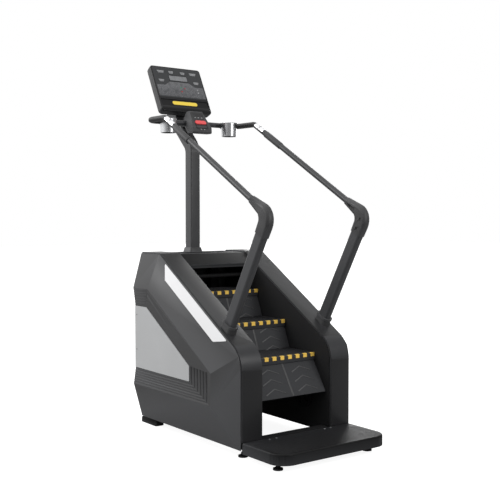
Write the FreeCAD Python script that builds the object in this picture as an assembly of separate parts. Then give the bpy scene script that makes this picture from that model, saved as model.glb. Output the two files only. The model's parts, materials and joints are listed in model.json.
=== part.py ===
import FreeCAD
import Part

import math
import os

from FreeCAD import Base

V = Base.Vector

# ---------------------------------------------------------------- driving sizes (mm)
# X is the climber's right, Y points from the step-up platform to the console, Z is up.
# The origin is on the floor under the middle of the bounding box.

STAIR_ANGLE = 31.5          # incline of the stair run, degrees from horizontal
STEP_RUN = 267.0            # horizontal distance between noses
STEP_COUNT = 3              # steps on the climbing run
NOSE_Y = -357.0             # front of the lowest nose
NOSE_Z = 500.0              # top of the lowest nose
STEP_HALF = 234.0           # half the width of a step
TREAD_THICK = 14.0
NOSE_DEPTH = 42.0           # height of the front lip of a tread

WALL_X = 240.0              # inner face of the side walls
WALL_THICK = 4.0
CHANNEL_IN = 244.0          # painted side channels lie from here ...
CHANNEL_OUT = 376.0         # ... to here
SHROUD_X = 381.0            # rim of a side shroud
RIDGE_X = 438.0             # proudest ridge of a side shroud
PANEL_X = 424.0             # bottom of the recess that holds the inset panel
SKIN = 4.0                  # wall of the moulded covers

SIDE_BOTTOM = 57.0
SIDE_TOP = 1052.0
SIDE_REAR = 540.0
SIDE_FRONT = -485.0
TOP_START_Y = 325.0         # where the incline of the sides meets their flat top
CORNER_R = 150.0            # round corner between front and incline
CHANNEL_PROUD = 8.0         # the channels stand this far outside the shroud outline
CHANNEL_DEPTH = 44.0

RAIL_X = 310.0              # centre of the base rails
RAIL_SIZE = 50.0
RAIL_Z = 45.0
TUBE_WALL = 3.0
RAIL_FRONT = -740.0
RAIL_REAR = 620.0

PLATFORM_TOP = 100.0
PLATFORM_BOTTOM = 42.0
PLATFORM_HALF = 377.0
PLATFORM_REAR = -497.0
PLATFORM_R = 90.0

MAST_Y = 553.0
MAST_SIZE = 70.0
MAST_BASE_Z = 1046.5
MAST_BEND_Z = 1712.0
MAST_TOP_Y = 742.0

RAILING_X = 330.0           # centre of the upper handrail tubes
RAIL_TUBE_R = 17.5
LOWER_WIDE = 76.0           # section of the lower handrail tubes
LOWER_THICK = 42.0
LOWER_CORNER = 15.0
ELBOW = V(332.0, -660.0, 1283.0)       # where the lines of the lower and upper rail cross
ELBOW_BEND = 60.0
ELBOW_LEG = 115.0           # reach of the elbow cover down the lower rail ...
ELBOW_ARM = 160.0           # ... and up the upper one
COLLAR = V(334.0, -331.0, 701.0)
BEND = V(330.0, 340.0, 1859.0)
CROSSBAR_Y = 545.0
CROSSBAR_Z = 1861.0
CROSSBAR_R = 16.0

CONSOLE_LEAN = 27.0         # degrees that the console's top leans away from the climber
CONSOLE_HALF = 188.0
CONSOLE_HEIGHT = 340.0
CONSOLE_FRONT = 26.0        # depth of the front housing
CONSOLE_DEPTH = 66.0
CONSOLE_FOOT = V(0.0, 607.0, 1939.0)   # middle of the lower front edge
CONSOLE_TAPER = 14.0        # the back shell narrows by this on every side
SHEET_LOW = 106.0           # lower edge of the membrane
STRIP_HALF = 92.0
LED_HALF = 66.0
LED_LOW = 236.0
LED_HIGH = 272.0

POD_HALF = 70.0
POD_TOP_HALF = 46.0
POD_FOOT = V(0.0, 441.0, 1828.0)       # lower edge of the sloping keypad face
POD_TILT = 34.3             # degrees that the face leans back from vertical
POD_FACE = 130.0
BUTTON_HALF = 38.0
BUTTON_LOW = 24.0
BUTTON_HIGH = 50.0
BUTTON_TRAVEL = 4.0

CUP_X = 226.0
CUP_Y = 473.5
CUP_R = 52.0
CUP_BOTTOM = 1786.0
CUP_HEIGHT = 84.0

CHAIN_DROP = 170.0          # chain line below the nose line, square to the incline
SPROCKET_R = 85.0
SPROCKET_SPAN = 700.0       # distance between the two sprocket shafts
CHAIN_X = 216.0
CHAIN_HALF = 6.0
SHAFT_R = 12.5
BIG_PULLEY_R = 110.0
SMALL_PULLEY_R = 30.0
PULLEY_X = 300.0
FLYWHEEL_R = 150.0
FLYWHEEL_Y = 372.0
FLYWHEEL_Z = 262.0
FIT = 0.05                  # radial running clearance of a shaft

FOOT_ROWS = (-710.0, -411.0)
FOOT_STEM_R = 6.0
FOOT_PAD_R = 26.0
MEMBER_ROWS = (-690.0, -440.0, 590.0)  # cross members of the base
FIRST_RISER_FOOT = (-459.0, 292.0)
MARKER_HALF = 13.0          # yellow squares let into the noses
MARKER_PITCH = 55.0
STRIPE_REAR = 258.0
STRIPE_LOW = 917.0          # heights of the stripe's long edges where y is 245
STRIPE_HIGH = 994.0
RIB_COUNT = 6
RIB_HALF = 2.6
RIB_CUT = 1.6
SCREW_SPOTS = (-84.0, -22.5, 109.0)    # places down (-) and up (+) the arms of an elbow cover

LEAN_SIN = math.sin(math.radians(CONSOLE_LEAN))
LEAN_COS = math.cos(math.radians(CONSOLE_LEAN))
CONSOLE_REAR = (CONSOLE_FOOT.y + (CONSOLE_HEIGHT - CONSOLE_TAPER) * LEAN_SIN + CONSOLE_DEPTH * LEAN_COS)
PLATFORM_FRONT = -CONSOLE_REAR   # the platform reaches as far forward as the console does back

COS = math.cos(math.radians(STAIR_ANGLE))
SIN = math.sin(math.radians(STAIR_ANGLE))
TAN = SIN / COS
STEP_RISE = STEP_RUN * TAN

# Corners in (y, z) of the proud ridge round a side panel, and of the panel sunk inside it.
RIDGE_OUTLINE = [(SIDE_REAR, 262.0), (SIDE_REAR, 846.0), (370.0, 846.0),
                 (-292.0, 846.0 - 662.0 * TAN), (-292.0, 262.0)]
PANEL_OUTLINE = [(SIDE_REAR, 361.0), (SIDE_REAR, 737.0), (405.0, 737.0),
                 (-65.0, 737.0 - 470.0 * TAN), (-65.0, 361.0)]


# ---------------------------------------------------------------- helpers

def box(x0, x1, y0, y1, z0, z1):
    return Part.makeBox(x1 - x0, y1 - y0, z1 - z0, V(x0, y0, z0))


def rod(start, end, radius):
    return Part.makeCylinder(radius, (end - start).Length, start, end - start)


def mirrored(shape):
    return shape.mirror(V(0, 0, 0), V(1, 0, 0))


def both_sides(shape):
    return Part.makeCompound([shape, mirrored(shape)])


def rounded_wire(points, radii):
    """Closed wire through the corner points, each corner rounded by its radius."""
    count = len(points)
    edges = []
    first = None
    last = None
    for i, point in enumerate(points):
        back = (points[i - 1] - point).normalize()
        ahead = (points[(i + 1) % count] - point).normalize()
        if radii[i] > 0:
            half = back.getAngle(ahead) / 2
            reach = radii[i] / math.tan(half)
            middle = (back + ahead).normalize()
            start = point + back * reach
            end = point + ahead * reach
            top = point + middle * (radii[i] / math.sin(half) - radii[i])
            piece = Part.Arc(start, top, end).toShape()
        else:
            start = point
            end = point
            piece = None
        if last is not None:
            edges.append(Part.makeLine(last, start))
        else:
            first = start
        if piece is not None:
            edges.append(piece)
        last = end
    edges.append(Part.makeLine(last, first))
    return Part.Wire(edges)


def prism_x(outline, x0, x1, radii=None):
    """Outline of (y, z) corners pulled along X."""
    points = [V(x0, y, z) for y, z in outline]
    wire = rounded_wire(points, radii or [0] * len(points))
    return Part.Face(wire).extrude(V(x1 - x0, 0, 0))


def plate_z(outline, z0, z1, radii=None):
    """Outline of (x, y) corners pulled along Z."""
    points = [V(x, y, z0) for x, y in outline]
    wire = rounded_wire(points, radii or [0] * len(points))
    return Part.Face(wire).extrude(V(0, 0, z1 - z0))


def rectangle(x0, x1, y0, y1):
    return [(x0, y0), (x1, y0), (x1, y1), (x0, y1)]


def outside(point, normal):
    """Large block that fills the side of a plane that its normal points to."""
    size = 3000.0
    block = Part.makeBox(size, size, size, V(-size / 2, -size / 2, 0))
    turn = Base.Rotation(V(0, 0, 1), normal)
    block.Placement = Base.Placement(point, turn)
    return block


def tube_path(points, bend):
    """Open centre line through the points, with a round bend at each inner one."""
    edges = []
    last = points[0]
    for i in range(1, len(points) - 1):
        corner = points[i]
        back = (points[i - 1] - corner).normalize()
        ahead = (points[i + 1] - corner).normalize()
        half = back.getAngle(ahead) / 2
        reach = bend / math.tan(half)
        middle = (back + ahead).normalize()
        start = corner + back * reach
        end = corner + ahead * reach
        top = corner + middle * (bend / math.sin(half) - bend)
        edges.append(Part.makeLine(last, start))
        edges.append(Part.Arc(start, top, end).toShape())
        last = end
    edges.append(Part.makeLine(last, points[-1]))
    return Part.Wire(edges)


def swept(section, path):
    return path.makePipeShell([section], True, False)


def edges_at(shape, axis, value):
    """Edges of a shape that lie in the plane where X, Y or Z has a value."""
    found = []
    for edge in shape.Edges:
        if all(abs(vertex.Point[axis] - value) < 1e-4 for vertex in edge.Vertexes):
            found.append(edge)
    return found


def box_tube_y(x0, x1, y0, y1, z0, z1, wall):
    hollow = box(x0 + wall, x1 - wall, y0 - 1, y1 + 1, z0 + wall, z1 - wall)
    return box(x0, x1, y0, y1, z0, z1).cut(hollow)


def box_tube_x(x0, x1, y0, y1, z0, z1, wall):
    hollow = box(x0 - 1, x1 + 1, y0 + wall, y1 - wall, z0 + wall, z1 - wall)
    return box(x0, x1, y0, y1, z0, z1).cut(hollow)


def box_tube_z(x0, x1, y0, y1, z0, z1, wall):
    hollow = box(x0 + wall, x1 - wall, y0 + wall, y1 - wall, z0 - 1, z1 + 1)
    return box(x0, x1, y0, y1, z0, z1).cut(hollow)


def on_incline(point_y, point_z, along, down):
    """Move along the incline and square down from it, from a (y, z) point."""
    y = point_y + along * COS + down * SIN
    z = point_z + along * SIN - down * COS
    return y, z


# ---------------------------------------------------------------- base frame

def base_rail():
    rail = box_tube_y(RAIL_X - RAIL_SIZE / 2, RAIL_X + RAIL_SIZE / 2, RAIL_FRONT, RAIL_REAR,
                      RAIL_Z, RAIL_Z + RAIL_SIZE, TUBE_WALL)
    for y in FOOT_ROWS:
        rail = rail.cut(rod(V(RAIL_X, y, RAIL_Z - 1), V(RAIL_X, y, RAIL_Z + 5), FOOT_STEM_R + 0.4))
    return rail


def cross_members():
    reach = RAIL_X - RAIL_SIZE / 2
    solids = []
    for y in MEMBER_ROWS:
        solids.append(box_tube_x(-reach, reach, y - 25, y + 25, RAIL_Z, RAIL_Z + RAIL_SIZE, TUBE_WALL))
    return Part.makeCompound(solids)


def rear_frame():
    """Two uprights and the beam that carries the mast."""
    top = MAST_BASE_Z - RAIL_SIZE
    low = RAIL_Z + RAIL_SIZE
    left = box_tube_z(-175, -125, MAST_Y - 25, MAST_Y + 25, low, top, TUBE_WALL)
    right = mirrored(left)
    beam = box_tube_x(-200, 200, MAST_Y - 25, MAST_Y + 25, top, MAST_BASE_Z, TUBE_WALL)
    foot = box(-180, -120, MAST_Y - 22, MAST_Y + 46, low, low + 6)
    return beam.fuse([left, right, foot, mirrored(foot)])


def rear_foot_pads():
    outline = rectangle(RAIL_X - 30, RAIL_X + 30, 445, 625)
    pad = plate_z(outline, 0, 30, [12] * 4)
    neck = plate_z(rectangle(RAIL_X - 24, RAIL_X + 24, 455, 615), 30, RAIL_Z, [8] * 4)
    solid = pad.fuse(neck)
    return Part.makeCompound([solid, mirrored(solid)])


def levelling_foot(x, y):
    pad = rod(V(x, y, 0), V(x, y, 9), FOOT_PAD_R)
    cone = Part.makeCone(FOOT_PAD_R - 5, 11, 9, V(x, y, 9), V(0, 0, 1))
    nut = rod(V(x, y, 18), V(x, y, 25), 11)
    stem = rod(V(x, y, 25), V(x, y, 72), FOOT_STEM_R)
    return pad.fuse([cone, nut, stem])


# ---------------------------------------------------------------- step-up platform

def platform_deck():
    """Moulded step-up deck, open below, with a soft edge round its top."""
    front = PLATFORM_FRONT
    outline = [(-PLATFORM_HALF, PLATFORM_REAR), (-PLATFORM_HALF, front),
               (PLATFORM_HALF, front), (PLATFORM_HALF, PLATFORM_REAR)]
    deck = plate_z(outline, PLATFORM_BOTTOM, PLATFORM_TOP, [0, PLATFORM_R, PLATFORM_R, 0])
    rim = [edge for edge in edges_at(deck, 2, PLATFORM_TOP) if edge.BoundBox.YMin < PLATFORM_REAR - 1]
    deck = deck.makeFillet(9, rim)
    inset = 5.0
    inner = [(-PLATFORM_HALF + inset, PLATFORM_REAR - inset), (-PLATFORM_HALF + inset, front + inset),
             (PLATFORM_HALF - inset, front + inset), (PLATFORM_HALF - inset, PLATFORM_REAR - inset)]
    under = RAIL_Z + RAIL_SIZE - 5
    radii = [0, PLATFORM_R - inset, PLATFORM_R - inset, 0]
    deck = deck.cut(plate_z(inner, PLATFORM_BOTTOM - 1, under, radii))
    deck = deck.cut(box(-RAIL_X - 26, RAIL_X + 26, RAIL_FRONT - 2, PLATFORM_REAR + 5,
                        PLATFORM_BOTTOM - 1, RAIL_Z + RAIL_SIZE + 0.5))
    return deck


# ---------------------------------------------------------------- side walls, channels and shrouds

def side_outline(grow):
    """Outline of a side in (y, z), grown outward at the front and along the top."""
    shift = grow / COS
    front = SIDE_FRONT - grow
    top = SIDE_TOP + grow
    start = TOP_START_Y + (shift - grow) / TAN
    corner_z = top - (start - front) * TAN
    return front, top, start, corner_z


def side_solid(grow, bottom, rear, x0, x1):
    front, top, start, corner_z = side_outline(grow)
    outline = [(rear, bottom), (rear, top), (start, top), (front, corner_z), (front, bottom)]
    return prism_x(outline, x0, x1, [0, 0, 30, CORNER_R + grow, 0])


def side_wall():
    wall = side_solid(-8.0, 72.0, SIDE_REAR - 4, WALL_X, WALL_X + WALL_THICK)
    for along in (0, SPROCKET_SPAN):
        y, z = shaft_centre(along)
        wall = wall.cut(rod(V(WALL_X - 1, y, z), V(WALL_X + 10, y, z), SHAFT_R + 2))
    member = MEMBER_ROWS[1]
    return wall.cut(box(WALL_X - 1, WALL_X + 10, member - 25.5, member + 25.5, 0, RAIL_Z + RAIL_SIZE + 0.5))


def side_channel():
    """Folded channel round the front, the incline and the top of one side."""
    outer = side_solid(CHANNEL_PROUD, PLATFORM_TOP, SIDE_REAR, CHANNEL_IN, CHANNEL_OUT)
    core = side_solid(CHANNEL_PROUD - CHANNEL_DEPTH, PLATFORM_TOP - 1, SIDE_REAR + 1,
                      CHANNEL_IN - 1, CHANNEL_OUT + 1)
    web_out = side_solid(CHANNEL_PROUD - 3, PLATFORM_TOP - 1, SIDE_REAR + 1,
                         CHANNEL_IN + 3, CHANNEL_OUT - 3)
    along = lower_line()
    foot = COLLAR - along * 150
    rail_hole = Part.Face(rail_section(foot, along, 1.0))
    return outer.cut(core).cut(web_out).cut(rail_hole.extrude(along * 150))


def bevel_planes(depth):
    """The four sloping facets between the rim and the ridge, moved in by depth."""
    out = RIDGE_X - SHROUD_X
    planes = []
    rise = RIDGE_OUTLINE[0][1] - SIDE_BOTTOM
    planes.append((V(SHROUD_X, 0, SIDE_BOTTOM), V(rise, 0, -out)))
    back = RIDGE_OUTLINE[3][0] - SIDE_FRONT
    planes.append((V(SHROUD_X, SIDE_FRONT, 0), V(back, -out, 0)))
    fall = SIDE_TOP - RIDGE_OUTLINE[1][1]
    planes.append((V(SHROUD_X, 0, SIDE_TOP), V(fall, 0, out)))
    gap_z = (SIDE_TOP + (RIDGE_OUTLINE[2][0] - TOP_START_Y) * TAN) - RIDGE_OUTLINE[2][1]
    square = gap_z * COS
    planes.append((V(SHROUD_X, TOP_START_Y, SIDE_TOP), V(square, -out * SIN, out * COS)))
    moved = []
    for point, normal in planes:
        unit = V(normal).normalize()
        moved.append((point - unit * depth, unit))
    return moved


def shroud_solid(depth):
    solid = side_solid(-depth, SIDE_BOTTOM + depth, SIDE_REAR + (1 if depth else 0),
                       SHROUD_X - SKIN - (1 if depth else 0), RIDGE_X - depth)
    for point, normal in bevel_planes(depth):
        solid = solid.cut(outside(point, normal))
    pocket = recess(RIDGE_X - depth, PANEL_X - depth)
    return solid.cut(pocket)


def recess(x_out, x_in):
    rear = 40.0
    outer = [V(x_out + 0.01, y + (rear if y == SIDE_REAR else 0), z) for y, z in RIDGE_OUTLINE]
    inner = [V(x_in, y + (rear if y == SIDE_REAR else 0), z) for y, z in PANEL_OUTLINE]
    wires = [rounded_wire(points, [0] * 5) for points in (outer, inner)]
    return Part.makeLoft(wires, True, True)


def rib_grooves():
    """Parallel grooves in the top, front and bottom bands between ridge and panel."""
    cuts = []
    for i in range(RIB_COUNT):
        t = 0.16 + 0.72 * i / (RIB_COUNT - 1)
        x = RIDGE_X + (PANEL_X - RIDGE_X) * t
        ring = []
        for outer, inner in zip(RIDGE_OUTLINE, PANEL_OUTLINE):
            ring.append((outer[0] + (inner[0] - outer[0]) * t, outer[1] + (inner[1] - outer[1]) * t))
        low = ring[0][1]
        high = ring[1][1]
        front = ring[3][0]
        cuts.append(box(x - RIB_CUT, x + 12, ring[2][0], SIDE_REAR + 5, high - RIB_HALF, high + RIB_HALF))
        cuts.append(box(x - RIB_CUT, x + 12, front - RIB_HALF, SIDE_REAR + 5, low - RIB_HALF, low + RIB_HALF))
        cuts.append(box(x - RIB_CUT, x + 12, front - RIB_HALF, front + RIB_HALF, low, ring[3][1]))
    return Part.makeCompound(cuts)


def side_shroud():
    shell = shroud_solid(0.0).cut(shroud_solid(SKIN))
    shell = shell.cut(rib_grooves())
    return shell


def inset_panel():
    edge = 1.5
    outline = [(SIDE_REAR - edge, 361.0 + edge), (SIDE_REAR - edge, 737.0 - edge),
               (405.0, 737.0 - edge), (-65.0 + edge, 737.0 - 470.0 * TAN - edge), (-65.0 + edge, 361.0 + edge)]
    return prism_x(outline, PANEL_X, PANEL_X + 3, [0, 0, 0, 6, 6])


def accent_stripe():
    """Band of brushed trim along the upper facet, following the incline."""
    facet = bevel_planes(0.0)[3]
    normal = facet[1]
    outline = [(STRIPE_REAR - 30, STRIPE_LOW - 17 * TAN), (STRIPE_REAR, STRIPE_HIGH + 13 * TAN),
               (-368, STRIPE_HIGH - 613 * TAN), (-265, STRIPE_LOW - 510 * TAN)]
    band = prism_x(outline, SHROUD_X - 5, RIDGE_X + 20, [4, 4, 4, 26])
    band = band.cut(outside(facet[0] + normal * 1.6, normal))
    block = outside(facet[0] + normal * 0.1, normal * -1)
    return band.cut(block)


# ---------------------------------------------------------------- rear cover and top

def rear_outline(inset):
    rim = SHROUD_X - 0.5 - inset
    return [(-rim, SIDE_REAR + 0.5), (-240 + inset, 602 - inset), (240 - inset, 602 - inset),
            (rim, SIDE_REAR + 0.5)]


def rear_cover():
    """Back shell between the shrouds, open below, with a grille and the inlet's window."""
    low = RAIL_Z + RAIL_SIZE + 9
    shell = plate_z(rear_outline(0), low, SIDE_TOP, [0, 30, 30, 0])
    inner = plate_z(rear_outline(SKIN), low - 1, SIDE_TOP - SKIN, [0, 26, 26, 0])
    shell = shell.cut(inner)
    half = MAST_SIZE / 2 + 1
    shell = shell.cut(box(-half, half, MAST_Y - half, MAST_Y + half, 900, SIDE_TOP + 1))
    for i in range(9):
        z = 200 + i * 26
        shell = shell.cut(box(-110, 110, 590, 610, z, z + 9))
    return shell.cut(box(-22, 22, 590, 610, 120, 150))


def top_tray():
    """Cover between the channels, with a shallow storage well ahead of the mast."""
    nose = 221.0
    front, top, start, corner_z = side_outline(0.0)
    nose_z = top - (start - nose) * TAN
    outline = [(nose, nose_z), (start, top), (SIDE_REAR, top), (SIDE_REAR, top - 5),
               (start + 2, top - 5), (nose + 2, nose_z - 20), (nose, nose_z - 20)]
    cover = prism_x(outline, -CHANNEL_IN + 0.5, CHANNEL_IN - 0.5, [8, 20, 0, 0, 16, 0, 0])
    for wall_x in (-WALL_X - WALL_THICK - 1, WALL_X - 0.3):
        cover = cover.cut(side_solid(-7.7, 0, SIDE_REAR + 5, wall_x, wall_x + WALL_THICK + 1.3))
    well = plate_z(rectangle(-170, 170, 360, 496), top - 26, top, [28] * 4)
    cover = cover.fuse(well)
    hollow = plate_z(rectangle(-166, 166, 364, 492), top - 22, top + 1, [24] * 4)
    cover = cover.cut(hollow)
    half = MAST_SIZE / 2 + 1
    return cover.cut(box(-half, half, MAST_Y - half, MAST_Y + half, top - 40, top + 1))


def guard_bar():
    """Round bar under the tray, with a flange on each side wall."""
    bar = rod(V(-WALL_X, 330, 912), V(WALL_X, 330, 912), 12.5)
    flange = rod(V(WALL_X - 8, 330, 912), V(WALL_X, 330, 912), 27)
    return bar.fuse([flange, mirrored(flange)])


# ---------------------------------------------------------------- mast, console and keypad

def mast_path():
    rise = MAST_TOP_Y - MAST_Y
    return [V(0, MAST_Y, MAST_BASE_Z), V(0, MAST_Y, MAST_BEND_Z), V(0, MAST_TOP_Y, MAST_BEND_Z + rise)]


def mast():
    path = tube_path(mast_path(), 90)

    def section(half, corner):
        points = [V(x, MAST_Y + y, MAST_BASE_Z)
                  for x, y in ((-half, -half), (half, -half), (half, half), (-half, half))]
        return rounded_wire(points, [corner] * 4)

    outer = swept(section(MAST_SIZE / 2, 9), path)
    inner = swept(section(MAST_SIZE / 2 - 3, 6), path)
    return outer.cut(inner)


def mast_boot():
    half = MAST_SIZE / 2
    low = half + 13
    high = half + 6

    def ring(reach, z, corner):
        points = [V(x, MAST_Y + y, z)
                  for x, y in ((-reach, -reach), (reach, -reach), (reach, reach), (-reach, reach))]
        return rounded_wire(points, [corner] * 4)

    body = Part.makeLoft([ring(low, SIDE_TOP, 14), ring(high, SIDE_TOP + 28, 12)], True, True)
    return body.cut(box(-half - 0.3, half + 0.3, MAST_Y - half - 0.3, MAST_Y + half + 0.3,
                        SIDE_TOP - 1, SIDE_TOP + 60))


def to_console(shape):
    """Move a shape drawn upright (X across, Z up the face, Y into the housing) onto the mast."""
    turn = Base.Rotation(V(1, 0, 0), -CONSOLE_LEAN)
    shape.Placement = Base.Placement(CONSOLE_FOOT, turn)
    return shape


def upright_plate(x0, x1, y0, y1, z0, z1, radius):
    points = [V(x0, y0, z0), V(x1, y0, z0), V(x1, y0, z1), V(x0, y0, z1)]
    wire = rounded_wire(points, [radius] * 4)
    return Part.Face(wire).extrude(V(0, y1 - y0, 0))


def console_housing():
    """Front frame of the console, with a bed for the membrane and a ledge with a yellow slot."""
    half = CONSOLE_HALF
    body = upright_plate(-half, half, 0, CONSOLE_FRONT, 0, CONSOLE_HEIGHT, 20)
    body = body.makeFillet(7, edges_at(body, 1, 0.0))
    body = body.cut(upright_plate(-half + 4, half - 4, 9, CONSOLE_FRONT + 1, 4, CONSOLE_HEIGHT - 4, 16))
    body = body.cut(upright_plate(-half + 8, half - 8, -1, 1.6, SHEET_LOW, CONSOLE_HEIGHT - 8, 12))
    body = body.cut(upright_plate(-half + 11, half - 11, -1, 4, 48, 90, 8))
    return to_console(body)


def console_back():
    half = CONSOLE_HALF

    def ring(inset, y, radius):
        points = [V(-half + inset, y, inset), V(half - inset, y, inset),
                  V(half - inset, y, CONSOLE_HEIGHT - inset), V(-half + inset, y, CONSOLE_HEIGHT - inset)]
        return rounded_wire(points, [radius] * 4)

    waist = CONSOLE_FRONT + 22
    outer = Part.makeLoft([ring(0.5, CONSOLE_FRONT + 0.2, 19), ring(2, waist, 20),
                           ring(CONSOLE_TAPER, CONSOLE_DEPTH, 22)], True, True)
    inner = Part.makeLoft([ring(4.5, CONSOLE_FRONT + 0.1, 15), ring(6, waist - 2, 16),
                           ring(CONSOLE_TAPER + 4, CONSOLE_DEPTH - 4, 18)], True, True)
    return to_console(outer.cut(inner))


def console_overlay():
    half = CONSOLE_HALF - 8.3
    sheet = upright_plate(-half, half, 0.5, 1.5, SHEET_LOW + 0.3, CONSOLE_HEIGHT - 8.3, 11.7)
    window = upright_plate(-LED_HALF - 0.3, LED_HALF + 0.3, -1, 3, LED_LOW - 0.3, LED_HIGH + 0.3, 3)
    return to_console(sheet.cut(window))


def led_window():
    return to_console(upright_plate(-LED_HALF, LED_HALF, 0.2, 1.5, LED_LOW, LED_HIGH, 2.7))


def console_strip():
    return to_console(upright_plate(-STRIP_HALF, STRIP_HALF, 2.6, 3.9, 52, 78, 11))


def console_bracket():
    """Boxed bracket that closes the mast's end and bolts flat to the console's back."""
    rear = CONSOLE_DEPTH + 0.2
    plate = upright_plate(-70, 70, rear, rear + 6, 20, 186, 10)
    outline = [(rear + 5, 28), (rear + 5, 168), (rear + 24, 168), (178, 62), (170, -50), (84, -60)]
    arm = prism_x(outline, -46, 46, [0, 0, 10, 24, 12, 14])
    return to_console(plate.fuse(arm)).cut(mast_core()).cut(crossbar_stub(0.3))


def mast_core():
    """Block that fills the mast's leaning end."""
    half = MAST_SIZE / 2
    block = Part.makeBox(2 * half, 2 * half, 300, V(-half, -half, -300))
    turn = Base.Rotation(V(1, 0, 0), -45)
    block.Placement = Base.Placement(mast_path()[-1], turn)
    return block


def to_pod(shape):
    """Move a shape drawn upright (Z up the keypad face, Y into the pod) onto the pod."""
    turn = Base.Rotation(V(1, 0, 0), -POD_TILT)
    shape.Placement = Base.Placement(POD_FOOT, turn)
    return shape


def keypad_pod():
    """Housing round the crossbar with a leaning keypad face that narrows towards its top."""
    tilt = math.radians(POD_TILT)
    foot = POD_FOOT
    top_y = foot.y + POD_FACE * math.sin(tilt)
    top_z = foot.z + POD_FACE * math.cos(tilt)
    outline = [(foot.y - 3, foot.z - 35), (foot.y, foot.z), (top_y, top_z), (top_y + 34, top_z - 4),
               (CROSSBAR_Y + 22, CROSSBAR_Z + 38), (CROSSBAR_Y + 22, CROSSBAR_Z),
               (CROSSBAR_Y - 8, CROSSBAR_Z - 24), (foot.y + 58, foot.z - 35)]
    body = prism_x(outline, -POD_HALF, POD_HALF, [10, 8, 10, 12, 12, 8, 8, 14])
    slope = V(top_z - foot.z, 0, POD_HALF - POD_TOP_HALF)
    for side in (-1, 1):
        body = body.cut(outside(V(side * POD_HALF, 0, foot.z), V(side * slope.x, 0, slope.z)))
    body = body.cut(rod(V(-200, CROSSBAR_Y, CROSSBAR_Z), V(200, CROSSBAR_Y, CROSSBAR_Z), CROSSBAR_R))
    body = body.cut(crossbar_stub(0.0))
    gap = 0.6
    pocket = upright_plate(-BUTTON_HALF - gap, BUTTON_HALF + gap, -1, 13, BUTTON_LOW - gap, BUTTON_HIGH + gap, 9)
    return body.cut(to_pod(pocket))


def stop_button():
    return to_pod(upright_plate(-BUTTON_HALF, BUTTON_HALF, -7, 8, BUTTON_LOW, BUTTON_HIGH, 8.4))


# ---------------------------------------------------------------- handrails, sensors and cups

def rail_section(centre, along, grow, wide=LOWER_WIDE, thick=LOWER_THICK, corner=LOWER_CORNER):
    """Rounded box outline square to a direction, its long side lying in the plane of the rails."""
    cross = along.cross(V(0, 1, 0)).normalize()
    side = cross.cross(along).normalize()
    half_wide = (wide + grow) / 2
    half_thick = (thick + grow) / 2
    points = []
    for a, b in ((1, 1), (-1, 1), (-1, -1), (1, -1)):
        points.append(centre + side * (a * half_wide) + cross * (b * half_thick))
    return rounded_wire(points, [corner + grow / 2] * 4)


def lower_line():
    return (ELBOW - COLLAR).normalize()


def upper_line():
    return (BEND - ELBOW).normalize()


def handrail_lower():
    along = lower_line()
    start = COLLAR - along * 84
    length = (ELBOW - start).Length - ELBOW_BEND
    outer = Part.Face(rail_section(start, along, 0.0))
    inner = Part.Face(rail_section(start, along, -5.0))
    return outer.extrude(along * length).cut(inner.extrude(along * length))


def handrail_upper():
    """Tube from the elbow up to the bend and level round to the crossbar."""
    aim = upper_line()
    start = ELBOW + aim * ELBOW_BEND
    points = [start, BEND, V(RAILING_X, CROSSBAR_Y, CROSSBAR_Z), V(RAILING_X - 120, CROSSBAR_Y, CROSSBAR_Z)]
    path = tube_path(points, 60)
    outer = Part.Wire([Part.makeCircle(RAIL_TUBE_R, start, aim)])
    inner = Part.Wire([Part.makeCircle(RAIL_TUBE_R - 2.5, start, aim)])
    return swept(outer, path).cut(swept(inner, path))


def crossbar_stub(grow):
    """Welded arm from the crossbar back to the mast."""
    return box(-24 - grow, 24 + grow, CROSSBAR_Y, CROSSBAR_Y + 150, CROSSBAR_Z - 14 - grow, CROSSBAR_Z + 14 + grow)


def front_crossbar():
    reach = RAILING_X - 120.2
    outer = rod(V(-reach, CROSSBAR_Y, CROSSBAR_Z), V(reach, CROSSBAR_Y, CROSSBAR_Z), CROSSBAR_R)
    inner = rod(V(-reach, CROSSBAR_Y, CROSSBAR_Z), V(reach, CROSSBAR_Y, CROSSBAR_Z), CROSSBAR_R - 2.5)
    return outer.fuse(crossbar_stub(0.0)).cut(inner).cut(mast_core())


def elbow_stations():
    """Centre, direction and section (wide, thick, corner) down the length of the elbow cover."""
    low = lower_line()
    high = upper_line()
    half = (math.pi - low.getAngle(high)) / 2
    reach = ELBOW_BEND / math.tan(half)
    inward = (high - low).normalize()
    centre = ELBOW + inward * (ELBOW_BEND / math.sin(half))
    stations = [(ELBOW - low * ELBOW_LEG, low, (84, 50, 18)), (ELBOW - low * reach, low, (88, 51, 19))]
    steps = 8
    for i in range(1, steps):
        turn = i / steps
        wide = 88 + 4 * math.sin(math.pi * turn) - 18 * turn * turn
        along = (low * math.sin((1 - turn) * (math.pi - 2 * half)) + high * math.sin(turn * (math.pi - 2 * half)))
        along = along.normalize()
        out = (centre - ELBOW).normalize()
        spoke = along.cross(V(1, 0, 0)).normalize()
        spoke = spoke * (-1 if spoke.dot(out) > 0 else 1)
        stations.append((centre + spoke * ELBOW_BEND, along, (wide, 51, 20)))
    stations.append((ELBOW + high * reach, high, (70, 49, 21)))
    stations.append((ELBOW + high * ELBOW_ARM, high, (44, 43, 20)))
    return stations


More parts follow.
